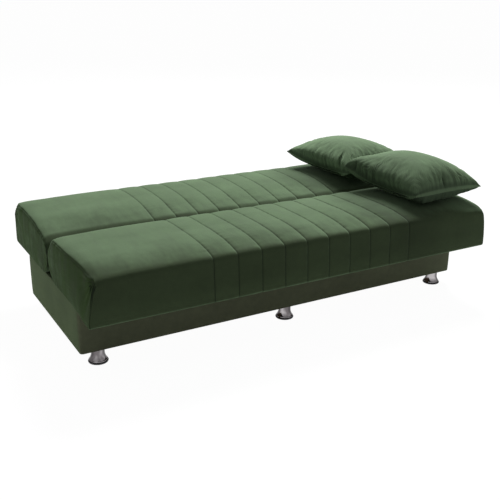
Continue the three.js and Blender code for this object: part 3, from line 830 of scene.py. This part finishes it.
def cushion_block(section, settings):
    """The crowned block of a cushion before its seams are sewn."""
    half, bottom = section.half, section.bottom
    stations = cushion_stations(settings, half)
    counts = (len(stations) - 1, 46, 22)
    bm = grid_block(counts)
    for vert in bm.verts:
        i, j, k = (round((vert.co[axis] + 0.5) * counts[axis]) for axis in range(3))
        across, up = j / counts[1], k / counts[2]
        if section.side > 0:
            across = 1 - across
        place, lean = stations[i]
        if 0 < i < counts[0] or j in (0, counts[1]) or k in (0, counts[2]):
            if k == counts[2]:
                side, share = 1, across
            elif k == 0:
                side, share = 3, 1 - across
            else:
                side, share = (0, up) if across == 0 else (2, 1 - up)
            point, inset = section.at(side, share, lean)
            out = half - inset + inset * math.sin(lean * math.pi / 2) if lean else abs(place)
        else:
            point = section.on_panel(across, up)
            out = half + END_BULGE * (math.sin(math.pi * across) * math.sin(math.pi * up)) ** 0.9
        # the top falls away toward the ends
        over = max(0.0, 1 - (half - out) / 0.05)
        drop = END_DROP * smoothstep(half - 0.24, half, out) + EDGE_DROP * over ** 2.2
        drop *= smoothstep(bottom + 0.06, 0.45, point.y)
        # and the seat's lower front edge hangs a little
        if section.side < 0:
            drop += FRONT_HANG * smoothstep(0.40, 0.50, point.x) * smoothstep(bottom + 0.1, bottom, point.y)
        vert.co = (math.copysign(out, place), section.side * point.x, point.y - drop)
    bmesh.ops.recalc_face_normals(bm, faces=bm.faces)
    return bm


def seam_distance(settings, x):
    """Distance to the nearest channel seam, and whether x lies between the first and the last."""
    first, last = channel_ends(settings)
    number = round((x - first) / settings.channel_pitch)
    number = min(settings.channel_count - 1, max(0, number))
    return abs(x - first - number * settings.channel_pitch), first <= x <= last


def channel_height(settings, x):
    """Padding between the seams: round in the middle of a channel and pulled down at each seam."""
    away, between = seam_distance(settings, x)
    reach = settings.channel_pitch * (0.5 if between else 0.62)
    swell = settings.puff * (1 - (1 - min(1.0, away / reach)) ** 2.4)
    return swell - settings.seam_depth * hill(away, 0.0042)


def cushion_relief(section, settings, co, normal):
    """How far a point of the cover stands off the plain block."""
    x, away, z = co.x, co.y * section.side, co.z
    half, bottom = section.half, section.bottom
    is_seat = section.side < 0
    end = smoothstep(0.35, 0.8, abs(normal.x))
    wrap = 1 - end
    below = smoothstep(bottom + 0.002, bottom + 0.05, z)
    upright = smoothstep(0.6, 0.95, abs(normal.y))
    top = smoothstep(0.3, 0.8, normal.z)
    height = wrap * channel_height(settings, x) * mix(0.25, 1.0, below) * mix(0.8, 0.55, upright)
    # soft unevenness of the padding
    height += wrap * HEIGHTS["padding"] * ripple(co, (5, 6, 6), 3.1) * below
    # small puckers that run out from the stitches
    pucker = math.exp(-seam_distance(settings, x)[0] / 0.02) * ripple(co, (26, 60, 60), 7.7)
    height += wrap * HEIGHTS["puckers"] * pucker * below
    # the seat's front edge rolls over more softly toward the pillows' end
    if is_seat:
        edge = math.hypot(away - section.far, z - bottom - 0.172)
        along = smoothstep(0.50, 0.80, x) * mix(0.3, 1.0, smoothstep(0.93, 0.80, x))
        height -= HEIGHTS["front roll"] * hill(edge, 0.032) * along * wrap
    # the cover pulls from the corners of the top
    arm = Vector((away, z)) - Vector((section.far - 0.018, bottom + 0.165))
    reach = arm.length
    folds = math.sin(math.atan2(arm.y, -arm.x) * 15 + 2.4 * ripple(co, (9, 9, 9), 1.3 * section.side))
    near_end = smoothstep(half - 0.035, half - 0.004, abs(x))
    fade = hill(reach, 0.085) * smoothstep(0.004, 0.03, reach) * below
    height += HEIGHTS["corner folds"] * near_end * folds * fade
    # the seam round the end panel
    height -= HEIGHTS["end seam"] * hill(abs(normal.x) - 0.75, 0.12) * below * smoothstep(0.03, 0.09, reach)
    # long soft folds down the end panel
    drape = HEIGHTS["fine drape"] * ripple((x, away, z), (3, 34, 5), 5.0 + section.side)
    drape += HEIGHTS["broad drape"] * ripple((x, away, z), (3, 15, 7), 8.0 - section.side)
    height += end * drape * smoothstep(bottom, bottom + 0.03, z)
    # gathers round the nose of the end panel
    spoke = Vector((away, z)) - section.hinge
    rim = hill(spoke.length - 0.084, 0.02) * smoothstep(0.16, 0.12, away)
    turn = math.atan2(spoke.y, -spoke.x)
    waves = math.sin(turn * 17 + 3 * ripple(co, (11, 11, 11), 2.2))
    height += end * HEIGHTS["nose gathers"] * rim * waves
    # drag lines on the plain parts beside the end panels
    plain = smoothstep(half - 0.42, half - 0.12, abs(x)) * wrap
    drag = ripple((x, away + 0.35 * abs(x), z), (16, 5, 8), 9.0)
    height += plain * HEIGHTS["drag lines"] * drag * below * mix(0.6, 1.0, top)
    # faint creases down the plain part of the seat's front
    if is_seat:
        for crease in FRONT_CREASES:
            bent = x - crease - 0.012 * ripple((z, 0.0, 0.0), (14, 1, 1), crease)
            shown = upright * smoothstep(bottom + 0.03, bottom + 0.11, z)
            height -= HEIGHTS["front creases"] * hill(bent, 0.005) * shown
    # the turned-in hem shows as a shallow line near the lower edge
    hem = bottom + 0.022 - (0.008 if is_seat and away > 0.3 else 0.0)
    shown = wrap * smoothstep(0.9, 0.99, abs(normal.y))
    return height - HEIGHTS["hem"] * hill(z - hem, 0.0035) * shown


def frame_room(word, pinch=0.0003):
    """The boxes and drums that the cover leaves free for the wooden frame and the hinges."""
    side, hinge = WORDS[word], hinge_of(word)
    rail_low, rail_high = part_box(word + "_left_rail")
    rail_near, far = reach_of(word + "_left_rail")
    inner_near = reach_of(word + "_inner_rail")[0]
    deck_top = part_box(word + "_deck")[1].z
    outer_x, inner_x = -rail_low.x, -rail_high.x
    slot_in = -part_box("hinge_bracket_left")[0].x - 0.016
    under = rail_low.z - 0.02

    def box_room(x0, x1, near, far, z0, z1):
        return lambda bm: block(bm, (x0, side * near, z0), (x1, side * far, z1))

    def drum_room(x0, x1):
        placed = Matrix.Translation(((x0 + x1) / 2, side * hinge.x, hinge.y))
        placed @= Matrix.Rotation(math.pi / 2, 4, "Y")
        return lambda bm: bmesh.ops.create_cone(bm, cap_ends=True, segments=48, radius1=DRUM_RADIUS,
                                                radius2=DRUM_RADIUS, depth=abs(x1 - x0), matrix=placed)

    rooms = [
        box_room(-outer_x - pinch, outer_x + pinch, inner_near - pinch, far + pinch, rail_low.z - pinch,
                 deck_top + pinch),
        box_room(-outer_x + 0.022, outer_x - 0.022, inner_near + 0.011, far - 0.022, under, rail_low.z + 0.002),
    ]
    for sign in ENDS.values():
        outer = sign * (outer_x + pinch)
        rooms += [
            box_room(sign * (inner_x - pinch), outer, rail_near - pinch, inner_near + 0.001,
                     rail_low.z - pinch, rail_high.z + pinch),
            box_room(sign * slot_in, sign * (inner_x + pinch), 0.0, inner_near + 0.001, under, hinge.y + 0.012),
            drum_room(sign * slot_in, outer),
        ]
    return rooms


class SOFA_OT_cushions(bpy.types.Operator):
    """Make the seat and back cushions with their sewn channels"""

    bl_idname = "sofa.cushions"
    bl_label = "Cushions"

    def execute(self, context):
        settings = context.scene.sofa_bed.cushions
        for word in WORDS:
            section = Section(word, settings)
            piece = add_piece(word + "_cushion", cushion_block(section, settings), "velvet")
            subdivide(piece)
            bm = bmesh.new()
            bm.from_mesh(piece.data)
            bm.normal_update()
            moves = [v.normal * cushion_relief(section, settings, v.co, v.normal) for v in bm.verts]
            for vert, move in zip(bm.verts, moves):
                vert.co += move
                section.lean_in(vert.co)
                section.keep_nose(vert.co)
            bm.to_mesh(piece.data)
            bm.free()
            for room in frame_room(word):
                carve(piece, room)
            piece.data.shade_smooth()
            piece.data.set_sharp_from_angle(angle=math.radians(50))
            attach(piece, word)
            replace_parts(piece, word + "_cover", word + "_foam")
        return {"FINISHED"}


# ---- Pillows -----------------------------------------------------------------------------------


# corners: from the middle of the CAD box, near and far on the left, then near and far on the right
# sink: how far the filling sags below the box    tuck: how far the left seam sags between its corners
# far_power: how full the right half is           rings: height of the rings round the near left corner
# blunt: how far that corner is drawn in          ear: how flat the far left corner lies
# folds: start and end, in shares from -1 to 1 across the pillow, and width of each pinched fold
PILLOWS = {
    "pillow_front": {
        "body": "front_pillow",
        "corners": ((-0.178, -0.240, -0.049), (-0.222, 0.232, 0.005), (0.236, -0.224, -0.045),
                    (0.190, 0.243, -0.009)),
        "sink": 0.0036, "tuck": 0.066, "far_power": 1.65, "rings": 0.0005, "blunt": 0.026, "ear": 2.4,
        "folds": (((-0.05, -1.0), (0.0, -0.84), 0.030), ((-1.0, 0.74), (-0.84, 0.86), 0.034)),
    },
    "pillow_rear": {
        "body": "rear_pillow",
        "corners": ((-0.172, -0.240, -0.042), (-0.229, 0.216, -0.002), (0.222, -0.214, -0.002),
                    (0.182, 0.250, -0.002)),
        "sink": 0.0, "tuck": 0.056, "far_power": 2.1, "rings": 0.0, "blunt": 0.018, "ear": 0.0,
        "folds": (((-1.0, -0.70), (-0.66, -0.56), 0.040),),
    },
}
PILLOW_CUTS = (80, 92, 1)
CASE_FILL = 0.09  # thickness of the case before it is filled
HALF_SIZE = (0.2, 0.235)  # half the width and depth of a pillow, for distances in from its rim
SIDE_PULL = 0.016  # how far each side is drawn in between its corners
SETTLE = 0.02  # height over which the underside flattens onto what it rests on
REST_GAP = 0.0004
TURN_UNDER = 0.042  # how far the left side turns in under itself
FOLD_DEPTH = 0.020
FINE_GATHER, BROAD_GATHER, CRUMPLE = 0.0016, 0.0010, 0.0022


class SOFA_OT_pillows(bpy.types.Operator):
    """Make the two loose pillows"""

    bl_idname = "sofa.pillows"
    bl_label = "Pillows"

    def execute(self, context):
        settings = context.scene.sofa_bed.pillows
        for name, shape in PILLOWS.items():
            low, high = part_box(name)
            bm, places = self.case(shape["corners"], settings.seam_width)
            piece = add_piece(name + "_cushion", bm, "pillow_velvet")
            creases = [Vector()] * len(places)
            inflate(piece, settings.pressure)
            creases = self.creases(piece)
            mesh = piece.data
            for vertex, place, crease in zip(mesh.vertices, places, creases):
                calm = 1 - 0.75 * smoothstep(0.9, 1.0, max(map(abs, place[:2])))
                formed = self.form(*place, shape, (high.z - low.z) / 2, settings.seam_width / 2)
                vertex.co = (low + high) / 2 + formed
                vertex.co += crease * settings.creases * calm
            self.note(mesh, "rim", [self.rim_gap(u, v) * up for u, v, up in places])
            self.note(mesh, "fold", [self.fold(*place, shape["folds"]) ** 2 for place in places])
            across = mesh.attributes.new("across", "FLOAT_VECTOR", "POINT")
            across.data.foreach_set("vector", [part for place in places for part in place])
            subdivide(piece)
            self.gather(piece.data, low.y, shape["rings"])
            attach(piece, shape["body"])
            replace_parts(piece, name)
        return {"FINISHED"}

    def note(self, mesh, name, values):
        """Keeps a number for each point, which the velvet reads."""
        mesh.attributes.new(name, "FLOAT", "POINT").data.foreach_set("value", values)

    def case(self, corners, seam_width):
        """The sewn case before it is filled, and each point's place: across, along, and 1 above or -1 below."""
        width, depth = corners[2][0] - corners[1][0], corners[3][1] - corners[0][1]
        bm = grid_block(PILLOW_CUTS)
        places = []
        for vert in bm.verts:
            u, v = (math.copysign(1 - (1 - abs(c * 2)) ** 1.35, c) for c in vert.co.xy)
            up = 1 if vert.co.z > 0 else -1
            places.append((u, v, up))
            # a slightly full start, so that the filling swells both faces evenly
            thick = seam_width + CASE_FILL * ((1 - u * u) * (1 - v * v)) ** 0.5
            vert.co = (u * width / 2, v * depth / 2, up * thick / 2)
        return bm, places

    def creases(self, piece, rounds=6):
        """The small folds of the filled case: how far each point stands off the smoothed case."""
        bm = bmesh.new()
        bm.from_mesh(piece.data)
        before = [v.co.copy() for v in bm.verts]
        for _ in range(rounds):
            bmesh.ops.smooth_vert(bm, verts=bm.verts, factor=0.5, use_axis_x=True, use_axis_y=True,
                                  use_axis_z=True)
        moves = [start - v.co for start, v in zip(before, bm.verts)]
        bm.free()
        return moves

    def gather(self, mesh, seed, ring_height):
        """Work the small gathers into the finished case, by each point's place across it."""
        across = mesh.attributes["across"]
        heights = [self.gathers(*spot.vector, seed, ring_height) for spot in across.data]
        normals = [v.normal.copy() for v in mesh.vertices]
        for vertex, normal, height in zip(mesh.vertices, normals, heights):
            vertex.co += normal * height
        mesh.attributes.remove(across)
        self.note(mesh, "crease", heights)

    def rim_gap(self, u, v):
        """Distance in from the sewn rim, in metres."""
        return min((1 - abs(u)) * HALF_SIZE[0], (1 - abs(v)) * HALF_SIZE[1])

    def gathers(self, u, v, up, seed, ring_height):
        """Fine gathers that run in from the seams, and rings round the tucked near corner."""
        height = 0.0
        for along, away, other in ((v, 1 - abs(u), u), (u, 1 - abs(v), v)):
            spot = (along, away, math.copysign(1.0, other) + seed + 3 * up)
            bent = along / (1 - 0.7 * min(away, 0.8)) + 0.06 * ripple(spot, (2, 4, 1), 3.0)
            size = max(0.0, 0.45 + 0.9 * ripple(spot, (4, 2, 1), 5.0))
            fine = math.sin(bent * 118 + 13 * ripple(spot, (5, 8, 1), 9.0))
            broad = math.sin(bent * 37 + 5 * ripple(spot, (3, 2, 1), 13.0))
            crumple = CRUMPLE * ripple(spot, (11, 6, 1), 17.0) * hill(away, 0.45)
            fade = smoothstep(0.0, 0.05, away) * smoothstep(-0.10, 0.22, 1 - abs(along) - away)
            waves = FINE_GATHER * fine * hill(away, 0.40) + BROAD_GATHER * broad * hill(away, 0.45)
            height += fade * (size * waves + crumple)
        reach = math.hypot(1 + u, 1 + v)
        rings = math.sin(reach * 62 + 3 * ripple((u, v, seed), (3, 3, 1), 21.0))
        return height + ring_height * rings * hill(reach, 0.34) * smoothstep(0.0, 0.1, reach)

    def form(self, u, v, up, shape, half, edge):
        """A point of the settled pillow, from its middle: plump, thin at its seam, drawn in at its sides."""
        near_left, far_left, near_right, far_right = map(Vector, shape["corners"])
        rim = near_left.lerp(far_left, (v + 1) / 2).lerp(near_right.lerp(far_right, (v + 1) / 2), (u + 1) / 2)
        side = 1 - v * v
        rim.x -= SIDE_PULL * u * side
        rim.y -= SIDE_PULL * v * (1 - u * u)
        rim.z -= shape["tuck"] * side * smoothstep(0.0, 1.0, -u)
        # on the left the seam is drawn in under the side, and the side swells out over it
        rim.x += (0.024 * hill(1 + u, 0.07) - 0.012 * hill(u + 0.84, 0.12)) * side
        corner = shape["blunt"] * ((1 - u) * (1 - v) / 4) ** 7
        rim.x += corner
        rim.y += corner
        # full in the middle, falling to the seam more steeply near the left corners
        near = smoothstep(-0.3, 1.0, -v) * smoothstep(-0.6, 0.6, -u)
        ear = smoothstep(0.3, 1.0, v) * smoothstep(-0.3, -1.0, u)
        power = 2.3 + (0.5 * near + shape["ear"] * ear if up > 0 else 1.5 * near)
        wide = mix(power, shape["far_power"], smoothstep(0.0, 0.5, u))
        inner = max(0.0, 1 - abs(u) ** wide) * max(0.0, 1 - abs(v) ** power)
        if up > 0:
            slope, reach = mix(0.42, 0.60, smoothstep(-0.2, 0.9, -(u + v * 1.4) / 2)), half - edge
        else:
            belly = smoothstep(0.1, 0.9, -v) * smoothstep(-1.0, -0.6, u)
            belly *= mix(0.85, 1.0, smoothstep(1.0, 0.0, u))
            slope, reach = mix(0.9, 0.30, belly), half + shape["sink"] - edge
        full = inner ** slope * smoothstep(0.0015, 0.012, self.rim_gap(u, v)) ** 0.4
        height = rim.z * (1 - 0.95 * inner ** 0.4) + up * (edge + reach * full)
        rim -= rim.normalized() * FOLD_DEPTH * self.fold(u, v, up, shape["folds"])
        # the underside flattens onto what it rests on
        floor = SETTLE + REST_GAP - half - shape["sink"]
        if height < floor:
            height = floor - SETTLE + SETTLE * math.exp((height - floor) / SETTLE)
        # and the side turns in under itself toward that
        turned = smoothstep(-0.15, -0.95, height / half) * smoothstep(-0.5, -0.9, u)
        rim.x += TURN_UNDER * turned ** 2 * smoothstep(-1.05, -0.35, v) * smoothstep(1.0, 0.75, v)
        return Vector((rim.x, rim.y, height))

    def fold(self, u, v, up, folds):
        """How deep a point of the upper side lies in the folds that start just above the seam."""
        depth = 0.0
        for first, last, width in folds:
            start = Vector(first)
            run, arm = Vector(last) - start, Vector((u, v)) - start
            share = min(1.0, max(0.0, arm.dot(run) / run.length_squared))
            away = (arm - run * share).length
            depth += hill(away, width) * (1 - 0.8 * share * share) * smoothstep(0.0, 0.35, share)
        return depth if up > 0 else 0.0


# ---- Box ---------------------------------------------------------------------------------------


CLOTH_THICKNESS = 0.0014
HEM = 0.016  # width of the box's cloth that is turned in over the boards
UPRIGHT_EDGE, TURNED_EDGE = 0.0134, 0.004  # rounding of the cloth at the box's corners and over its boards
SWELL = 0.0008
BOX_FINISHES = {
    "pine_x": ("base_front", "base_rear"),
    "pine_y": ("base_left", "base_right", "base_cross", "hinge_block", "leg_block"),
    "plywood": ("base_bottom",),
}


class SOFA_OT_box(bpy.types.Operator):
    """Cover the bedding box and finish its boards"""

    bl_idname = "sofa.box"
    bl_label = "Box"

    def execute(self, context):
        low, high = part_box("base_cover")
        proud = Vector((CLOTH_THICKNESS, CLOTH_THICKNESS, 0))
        bm = bmesh.new()
        block(bm, low - proud, high + proud)
        flat = [f for f in bm.faces if abs(f.normal.z) > 0.9]
        bmesh.ops.delete(bm, geom=flat, context="FACES_ONLY")
        self.round_off(bm, edges_along(bm, 2, 0.1), UPRIGHT_EDGE, 4)
        for level in (low.z, high.z):
            self.turn_in(bm, level, HEM + CLOTH_THICKNESS)
        for axis, count, least in ((0, 90, 0.3), (1, 34, 0.3), (2, 12, 0.15)):
            bmesh.ops.subdivide_edges(bm, edges=edges_along(bm, axis, least), cuts=count, use_grid_fill=True)
        bm.normal_update()
        middle, half = (low.z + high.z) / 2, (high.z - low.z) / 2
        for vert in bm.verts:
            outer = smoothstep(HEM * 0.6, 0.0, inward(vert.co, low, high))
            level = 1 - abs(vert.co.z - middle) / half
            swell = SWELL * (smoothstep(0.0, 0.5, level) + ripple(vert.co, (7, 7, 1.6), 2.0))
            vert.co += Vector((vert.normal.x, vert.normal.y, 0)) * swell * outer * smoothstep(0, 0.12, level)
        bmesh.ops.recalc_face_normals(bm, faces=bm.faces)
        bmesh.ops.solidify(bm, geom=bm.faces[:], thickness=CLOTH_THICKNESS)
        piece = add_piece("box_cloth", bm, "box_velvet", "base", sharp=50)
        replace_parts(piece, "base_cover")
        for finish, starts in BOX_FINISHES.items():
            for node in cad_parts:
                if node.startswith(starts):
                    paint_node(node, finish)
        return {"FINISHED"}

    def round_off(self, bm, edges, radius, segments):
        bmesh.ops.bevel(bm, geom=edges, offset=radius, offset_type="OFFSET", segments=segments, profile=0.5,
                        affect="EDGES", material=-1)

    def turn_in(self, bm, level, width):
        """Rounds the cloth over an edge of the boards and turns it in."""
        def rim(is_rim):
            return [e for e in bm.edges
                    if e.is_boundary == is_rim and all(abs(v.co.z - level) < 1e-5 for v in e.verts)]

        made = bmesh.ops.extrude_edge_only(bm, edges=rim(True))["geom"]
        verts = [v for v in made if isinstance(v, bmesh.types.BMVert)]
        middle = sum((v.co for v in verts), Vector()) / len(verts)
        for axis in (0, 1):
            half = max(v.co[axis] for v in verts) - middle[axis]
            for vert in verts:
                vert.co[axis] = middle[axis] + (vert.co[axis] - middle[axis]) * (1 - width / half)
        sharp = [e for e in rim(False) if len(e.link_faces) == 2 and e.calc_face_angle(0) > 1.0]
        self.round_off(bm, sharp, TURNED_EDGE, 3)


# ---- Frames inside the cushions ----------------------------------------------------------------


DUST_SAG, DUST_PULL, DUST_GAP, DUST_THICKNESS = 0.0008, 0.0003, 0.0002, 0.0006
class SOFA_OT_frames(bpy.types.Operator):
    """Finish the wooden frames and make the dust cloths under them"""

    bl_idname = "sofa.frames"
    bl_label = "Cushion frames"

    def execute(self, context):
        for word in WORDS:
            for part, finish in (("outer_rail", "pine_x"), ("inner_rail", "pine_x"), ("left_rail", "pine_y"),
                                 ("right_rail", "pine_y"), ("deck", "plywood")):
                paint_node(f"{word}_{part}", finish)
            self.dust_cloth(word)
        return {"FINISHED"}

    def dust_cloth(self, word):
        low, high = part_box(word + "_dust_cloth")
        width, depth = high.x - low.x, high.y - low.y
        placed = Matrix.Translation(((low.x + high.x) / 2, (low.y + high.y) / 2, high.z))
        placed @= Matrix.Diagonal((width / 2, depth / 2, 1, 1))
        bm = bmesh.new()
        bmesh.ops.create_grid(bm, x_segments=150, y_segments=34, size=1.0, matrix=placed)
        for vert in bm.verts:
            rim = inward(vert.co, low, high)
            sag = DUST_SAG * smoothstep(0.012, 0.09, rim) * (1 + ripple(vert.co, (7, 7, 7), 4.0))
            # it puckers between its staples
            pull = DUST_PULL * math.exp(-rim / 0.03) * math.cos(vert.co.x * 104) * smoothstep(0, 0.01, rim)
            vert.co.z -= sag + pull + DUST_GAP
        bmesh.ops.reverse_faces(bm, faces=bm.faces)
        bmesh.ops.solidify(bm, geom=bm.faces[:], thickness=DUST_THICKNESS)
        piece = add_piece(word + "_dust_cloth_sheet", bm, "dust_cloth", word, sharp=40)
        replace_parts(piece, word + "_dust_cloth")


# ---- Legs --------------------------------------------------------------------------------------


class SOFA_OT_legs(bpy.types.Operator):
    """Make the turned legs and their glides"""

    bl_idname = "sofa.legs"
    bl_label = "Legs"

    def execute(self, context):
        for node in list(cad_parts):
            if not node.startswith("leg_") or node.startswith("leg_block"):
                continue
            low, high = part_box(node)
            radius, height = (high.x - low.x) / 2, high.z - low.z
            if node.startswith("leg_glide"):
                name, profile = node.replace("leg_glide", "foot_ring"), self.ring(radius, height)
                finish, slot = "black_plastic", "glide"
            else:
                name, profile = node.replace("leg_", "chrome_leg_"), self.bell(radius, height)
                finish = slot = "chrome"
            bm = lathe(profile, 64, ((low.x + high.x) / 2, (low.y + high.y) / 2, low.z))
            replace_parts(add_piece(name, bm, finish, "base", sharp=30), node)
        return {"FINISHED"}

    def ring(self, radius, height):
        """A flat glide with rounded edges."""
        return [(0, 0), (radius - 0.004, 0), (radius - 0.0012, 0.0008), (radius, 0.003),
                (radius, height - 0.0022), (radius - 0.001, height - 0.0006), (radius - 0.003, height),
                (0, height)]

    def bell(self, foot, height, neck=0.027, top=0.050, screw=0.004, steps=12):
        """A straight neck that flares to a foot with a rolled rim, and the screw above it."""
        profile = [(0, 0), (foot - 0.003, 0), (foot - 0.0008, 0.0008), (foot, 0.0026), (foot - 0.0006, 0.0044),
                   (foot - 0.0022, 0.0058)]
        for step in range(1, steps + 1):
            share = step / steps
            profile.append((neck + (foot - 0.0022 - neck) * (1 - share) ** 1.9, mix(0.0058, 0.031, share)))
        return profile + [(neck, 0.040), (neck, top - 0.001), (neck - 0.001, top), (screw, top),
                          (screw, height - 0.001), (screw - 0.001, height), (0, height)]


# ---- Hinges ------------------------------------------------------------------------------------


SCREW = [(0, 0.0026), (0.0018, 0.0025), (0.0036, 0.0018), (0.0048, 0.0006), (0.0050, 0.0), (0.0026, 0.0),
         (0.0026, -0.0035), (0, -0.0035)]  # (radius, height) of a round head and the top of its thread
SCREW_SLOT = Vector((0.0014, 0.0027, 0.0005))  # bottom, half length and half width of the slot
BRACKET_SCREWS = (-0.070, 0.0, 0.070)
ARM_SCREWS = (0.45, 0.7, 0.93)  # shares of the arm's length from the hinge
ARM_LENGTH = 0.230


class SOFA_OT_hinges(bpy.types.Operator):
    """Finish the hinges and add their screws"""

    bl_idname = "sofa.hinges"
    bl_label = "Hinges"

    def execute(self, context):
        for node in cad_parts:
            if node.startswith(("hinge_bracket", "lock_")) or "_hinge_" in node:
                paint_node(node, "zinc")
        for end in ENDS:
            self.screws("bracket", "hinge_bracket_", end, BRACKET_SCREWS, 0.028, "base")
            for word, side in WORDS.items():
                places = [side * (hinge_of(word).x + ARM_LENGTH * share) for share in ARM_SCREWS]
                self.screws(word + "_arm", word + "_hinge_arm_", end, places, 0.015, word)
        return {"FINISHED"}

    def screws(self, name, plate, end, places, above, body):
        """A row of screws on the inner face of a plate, a little above its lower edge."""
        low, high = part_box(plate + end)
        inner = high.x if end == "left" else low.x
        for number, y in enumerate(places):
            self.screw(f"{name}_screw_{end}_{number + 1}", Vector((inner, y, low.z + above)), -ENDS[end], body)

    def screw(self, name, place, out, body):
        """A round-headed screw with a slot, its axis along X."""
        bm = lathe(SCREW, 20)
        turned = Matrix.Rotation(out * math.pi / 2, 4, "Y")
        bmesh.ops.transform(bm, matrix=Matrix.Translation(place) @ turned, verts=bm.verts)
        piece = add_piece(name, bm, "zinc", body, sharp=35)
        floor, length, width = SCREW_SLOT
        carve(piece, lambda room: block(room, place + Vector((out * floor, -length, -width)),
                                        place + Vector((out * 0.004, length, width))))


# ---- Stage -------------------------------------------------------------------------------------


KEY_PLACE = Vector((2.5, 3.0, 4.7))  # from the middle of the sofa bed
KEY_SIZE = 2.4
CAMERA_PLACE = Vector((-1.682, -2.9143, 1.0963))


class SOFA_OT_stage(bpy.types.Operator):
    """Make the floor, the light and the camera"""

    bl_idname = "sofa.stage"
    bl_label = "Stage"

    def execute(self, context):
        scene = context.scene
        settings = scene.sofa_bed.stage
        bm = bmesh.new()
        bmesh.ops.create_grid(bm, x_segments=1, y_segments=1, size=90)
        floor = new_object("floor", bm)
        floor.data.materials.append(self.floor_finish())
        scene.world = self.sky()
        middle = (CAD_BOX[0] + CAD_BOX[1]) / 2
        self.key_light(scene, middle, settings.key_power)
        self.camera(scene, middle, settings)
        scene.view_settings.view_transform = "Standard"
        return {"FINISHED"}

    def floor_finish(self):
        kit = Finish("stage_floor")
        kit.finish((0.78, 0.78, 0.78), 0.9, Specular_IOR_Level=0.0)
        glow = kit.node("ShaderNodeEmission", {"Color": (1, 1, 1), "Strength": 1.10})
        share = kit.times(kit.seen(), 0.88)
        blend = kit.node("ShaderNodeMixShader", {0: share, 1: kit.shader.outputs[0], 2: glow})
        kit.join(blend, kit.output.inputs["Surface"])
        return kit.material

    def sky(self):
        """White where it is seen, and dim as a light."""
        world = bpy.data.worlds.new("stage_sky")
        kit = Nodes(world, "World")
        dim, white = (kit.node("ShaderNodeBackground", {"Color": (1, 1, 1), "Strength": strength})
                      for strength in (0.18, 1.0))
        blend = kit.node("ShaderNodeMixShader", {0: kit.seen(), 1: dim, 2: white})
        kit.join(blend, kit.output.inputs["Surface"])
        return world

    def key_light(self, scene, middle, power):
        data = bpy.data.lights.new("key", "AREA")
        data.shape = "SQUARE"
        data.size = KEY_SIZE
        data.energy = power
        lamp = bpy.data.objects.new("key", data)
        lamp.location = middle + KEY_PLACE
        lamp.rotation_euler = (-KEY_PLACE).to_track_quat("-Z", "Y").to_euler()
        scene.collection.objects.link(lamp)

    def camera(self, scene, middle, settings):
        data = bpy.data.cameras.new("camera")
        data.lens = settings.lens
        data.sensor_width = 36
        data.clip_end = 300
        camera = bpy.data.objects.new("camera", data)
        turn, tilt, roll = settings.camera_turn, settings.camera_tilt, settings.camera_roll
        facing = Vector((math.sin(turn) * math.cos(tilt), math.cos(turn) * math.cos(tilt), -math.sin(tilt)))
        right = Vector((math.cos(turn), -math.sin(turn), 0))
        up = right.cross(facing)
        across = right * math.cos(roll) + up * math.sin(roll)
        over = up * math.cos(roll) - right * math.sin(roll)
        turned = Matrix((across, over, -facing)).transposed().to_4x4()
        camera.matrix_world = Matrix.Translation(middle + CAMERA_PLACE) @ turned
        scene.collection.objects.link(camera)
        scene.camera = camera


# ---- Panel -------------------------------------------------------------------------------------


class SOFA_PT_panel(bpy.types.Panel):
    """The steps that finish the sofa bed"""

    bl_idname = "SOFA_PT_panel"
    bl_label = "Sofa bed"
    bl_space_type = "VIEW_3D"
    bl_region_type = "UI"
    bl_category = "Sofa bed"

    def draw(self, context):
        for step in STEPS:
            self.layout.operator(step.bl_idname)
        settings = context.scene.sofa_bed
        for group in (settings.cushions, settings.pillows, settings.colours, settings.stage):
            box = self.layout.box()
            for name in group.bl_rna.properties.keys():
                if name not in ("rna_type", "name"):
                    box.prop(group, name)


STEPS = (SOFA_OT_stage, SOFA_OT_box, SOFA_OT_legs, SOFA_OT_hinges, SOFA_OT_frames, SOFA_OT_cushions,
         SOFA_OT_pillows)
CLASSES = (SofaCushionSettings, SofaPillowSettings, SofaColourSettings, SofaStageSettings, SofaBedSettings,
           *STEPS, SOFA_PT_panel)


def register():
    for item in CLASSES:
        bpy.utils.register_class(item)
    bpy.types.Scene.sofa_bed = PointerProperty(type=SofaBedSettings)


def unregister():
    del bpy.types.Scene.sofa_bed
    for item in reversed(CLASSES):
        bpy.utils.unregister_class(item)


def main():
    register()
    bpy.ops.sofa.stage()
    bpy.ops.sofa.box()
    bpy.ops.sofa.legs()
    bpy.ops.sofa.hinges()
    bpy.ops.sofa.frames()
    bpy.ops.sofa.cushions()
    bpy.ops.sofa.pillows()


if __name__ == "__main__":
    main()
